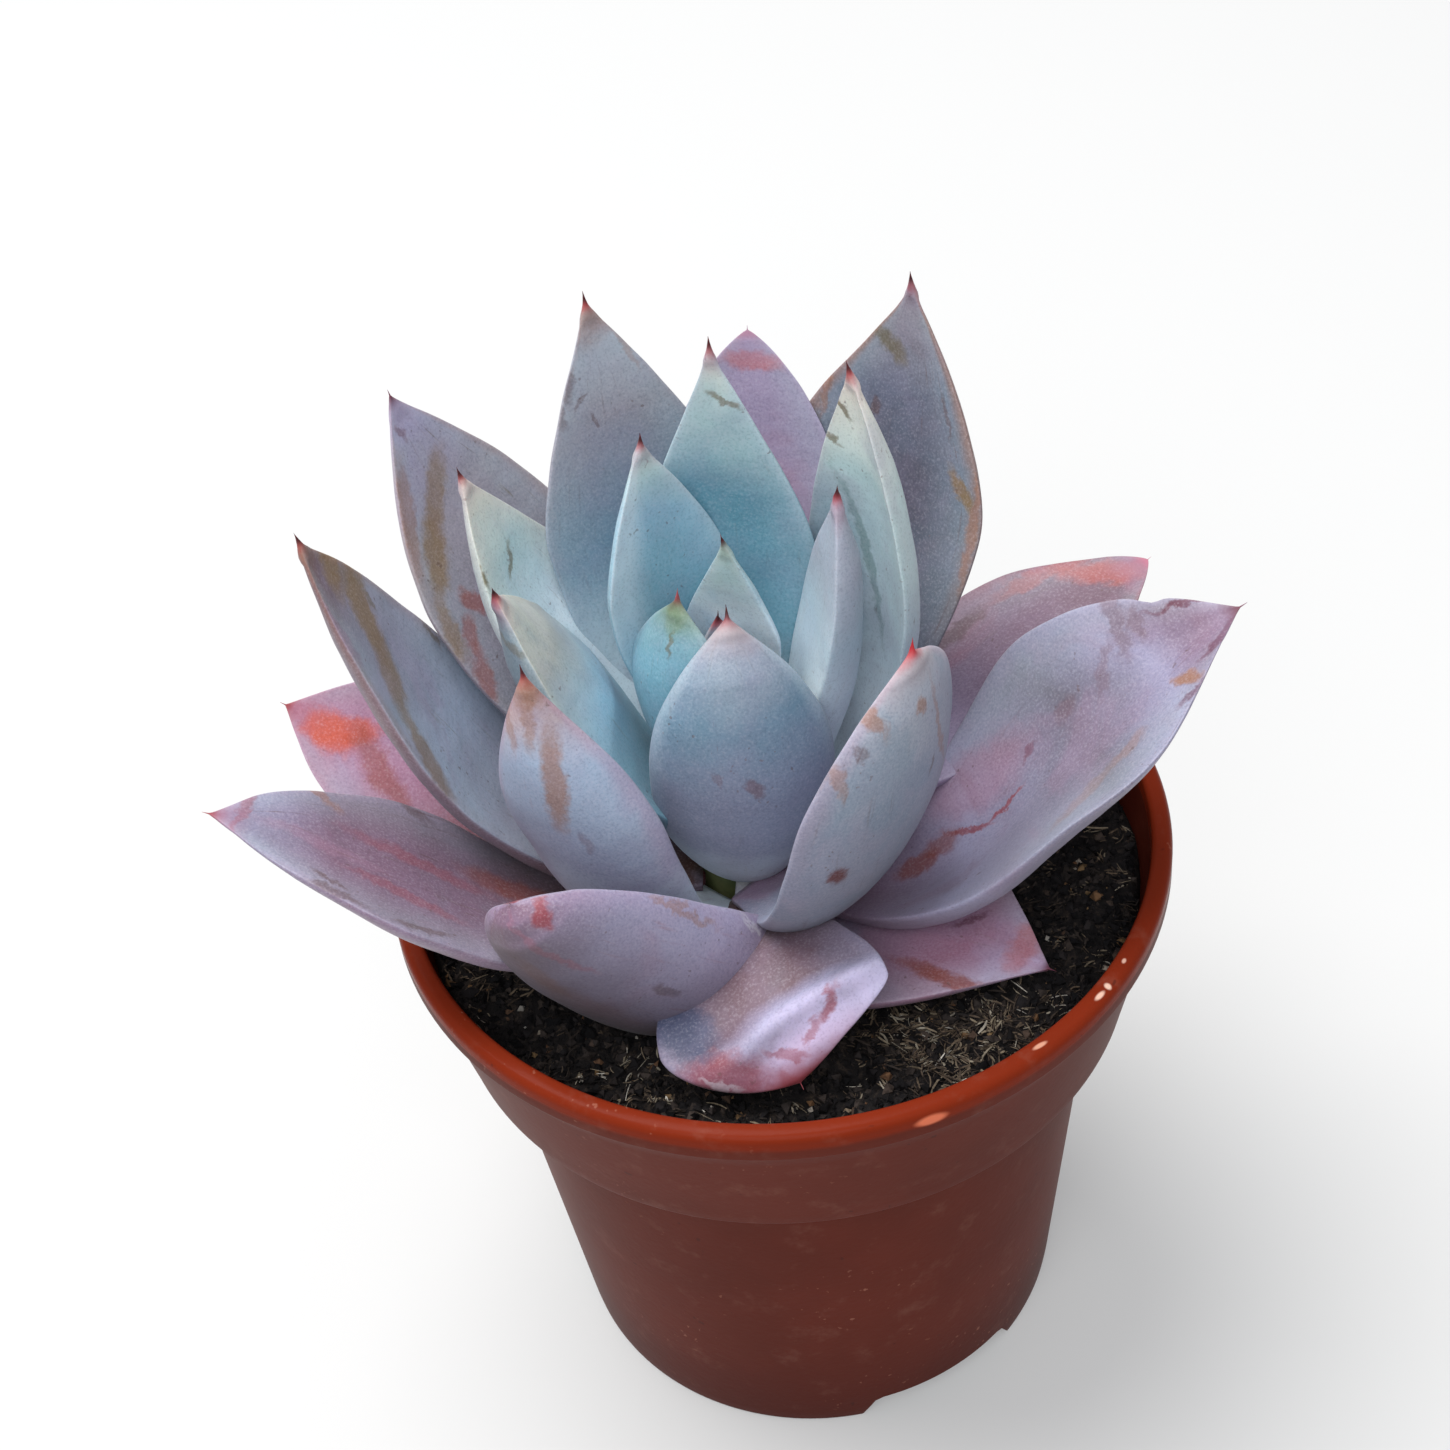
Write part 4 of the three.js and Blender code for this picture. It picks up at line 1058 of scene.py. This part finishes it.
def add_strand(draw, vertices, faces, spot, turn, length, radius):
    """One fibre, a thin bent rod of three sides that rises a little from the soil."""
    first = len(vertices)
    x, y = spot
    point = Vector((x, y, soil_height(x, y) + radius + draw.uniform(0, 0.7)))
    tilt = draw.gauss(0.08, 0.2)
    curl = draw.gauss(0, 0.55)
    for step in range(STRAND_STEPS + 1):
        out = Vector((math.cos(turn), math.sin(turn), tilt))
        side = Vector((-math.sin(turn), math.cos(turn), 0))
        here = radius * (0.3 + 0.7 * math.sin(math.pi * (0.12 + 0.76 * step / STRAND_STEPS)))
        for k in range(STRAND_SIDES):
            a = 2 * math.pi * k / STRAND_SIDES
            shift = side * here * math.cos(a) * 1.5 + Vector((0, 0, here * math.sin(a)))
            vertices.append(tuple(point + shift))
        point = point + out * length / STRAND_STEPS
        turn += curl / STRAND_STEPS
        tilt -= 0.1
        if math.hypot(point.x, point.y) > SOIL_EDGE - 0.8:
            turn += 1.6
    for step in range(STRAND_STEPS):
        faces += band(first + step * STRAND_SIDES, first + (step + 1) * STRAND_SIDES, STRAND_SIDES)
    last = first + STRAND_STEPS * STRAND_SIDES
    faces += [(first, first + 2, first + 1), (last, last + 1, last + 2)]


def make_fibres():
    """Husk fibres, in small bundles of nearly the same direction and colour."""
    draw = random.Random(23)
    vertices, faces, tints = [], [], []
    strands = 0
    while strands < FIBRES:
        x, y, tangle = fibre_spot(draw)
        turn = draw.uniform(0, 2 * math.pi)
        tint = 0.9 * draw.random() ** (2 - 1.3 * tangle)
        reach = 0.7 + 2.6 * draw.random() ** 2
        bundle = draw.randint(2, 13)
        strands += bundle
        for _ in range(bundle):
            spot = (x + draw.gauss(0, 0.4) * reach, y + draw.gauss(0, 0.4) * reach)
            if math.hypot(*spot) > SOIL_EDGE - 1.2 or near_stem(*spot):
                continue
            first = len(vertices)
            way = turn + draw.gauss(0, 0.35)
            length = 0.6 + 1.1 * reach * draw.random()
            add_strand(draw, vertices, faces, spot, way, length, 0.04 + 0.11 * draw.random() ** 2)
            shade = min(1, max(0, tint + draw.uniform(-0.25, 0.2)))
            tints += [shade] * (len(vertices) - first)
    add_loose("fibres", vertices, faces, tints, FIBRE_COLOURS)


# Stem

def make_stem():
    profile = [(0, STEM_FOOT)] + [(STEM_RADIUS - inset, z) for inset, z in STEM_INSETS] + [(0, STEM_TOP)]
    vertices, faces = lathe(profile, STEM_SIDES)
    vertices = [(x + STEM_X, y, z) for x, y, z in vertices]
    tree = Tree("green_stem")
    place = tree.object_place()
    colour = tree.ramp(tree.noise(place, 90, 4, 0.6), [(0.35, STEM_DARK), (0.65, STEM_LIGHT)])
    normal = tree.bump(tree.noise(place, 300, 3), 0.4, 0.0006)
    piece = new_object("fleshy_stem", vertices, faces, tree.finish(colour, 0.5, Normal=normal))
    settle(piece, "stem", "stem")


# Scene

def make_camera():
    forward = Vector(CAMERA_FORWARD).normalized()
    right = forward.cross(Vector(CAMERA_UP)).normalized()
    up = right.cross(forward)
    turn = Matrix((right, up, -forward)).transposed()
    camera = link(bpy.data.objects.new("camera", bpy.data.cameras.new("camera")))
    camera.matrix_world = Matrix.Translation(CAMERA_PLACE) @ turn.to_4x4()
    camera.data.lens = CAMERA_LENS
    camera.data.sensor_width = CAMERA_SENSOR
    camera.data.clip_start = 0.01
    bpy.context.scene.camera = camera


def make_light(name, place, size, power, colour):
    data = bpy.data.lights.new(name, "AREA")
    data.shape = "DISK"
    data.size = size
    data.energy = power
    data.color = colour
    light = link(bpy.data.objects.new(name, data))
    light.location = place
    light.rotation_euler = (Vector(LIGHTS_AIM) - Vector(place)).to_track_quat("-Z", "Y").to_euler()


def make_studio():
    world = bpy.data.worlds.new("studio")
    world.use_nodes = True
    background = world.node_tree.nodes["Background"]
    background.inputs["Color"].default_value = WORLD_COLOUR
    background.inputs["Strength"].default_value = WORLD_STRENGTH
    bpy.context.scene.world = world
    for light in LIGHTS:
        make_light(*light)
    material = Tree("pale_floor").finish(linear(FLOOR_COLOUR), 0.9, Emission_Color=(1, 1, 1, 1),
                                         Emission_Strength=FLOOR_GLOW)
    corners = [(-1, -1), (1, -1), (1, 1), (-1, 1)]
    floor = new_object("floor", [(x * FLOOR_REACH, y * FLOOR_REACH, 0) for x, y in corners],
                       [(0, 1, 2, 3)], material)
    bpy.context.scene.view_settings.view_transform = "Standard"


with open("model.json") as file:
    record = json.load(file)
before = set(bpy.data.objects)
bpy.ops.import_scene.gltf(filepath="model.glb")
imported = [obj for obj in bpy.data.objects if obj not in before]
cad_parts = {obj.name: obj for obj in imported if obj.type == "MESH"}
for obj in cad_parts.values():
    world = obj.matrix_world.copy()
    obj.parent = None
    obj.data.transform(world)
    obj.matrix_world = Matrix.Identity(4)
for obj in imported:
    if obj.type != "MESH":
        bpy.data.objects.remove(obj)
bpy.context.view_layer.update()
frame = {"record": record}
make_camera()
make_studio()
noise.seed_set(DENT_SEED)
for count, leaf_name in enumerate(LEAVES):
    make_leaf(leaf_name, count)
make_stem()
make_pot()
make_soil()
make_crumbs()
make_fibres()
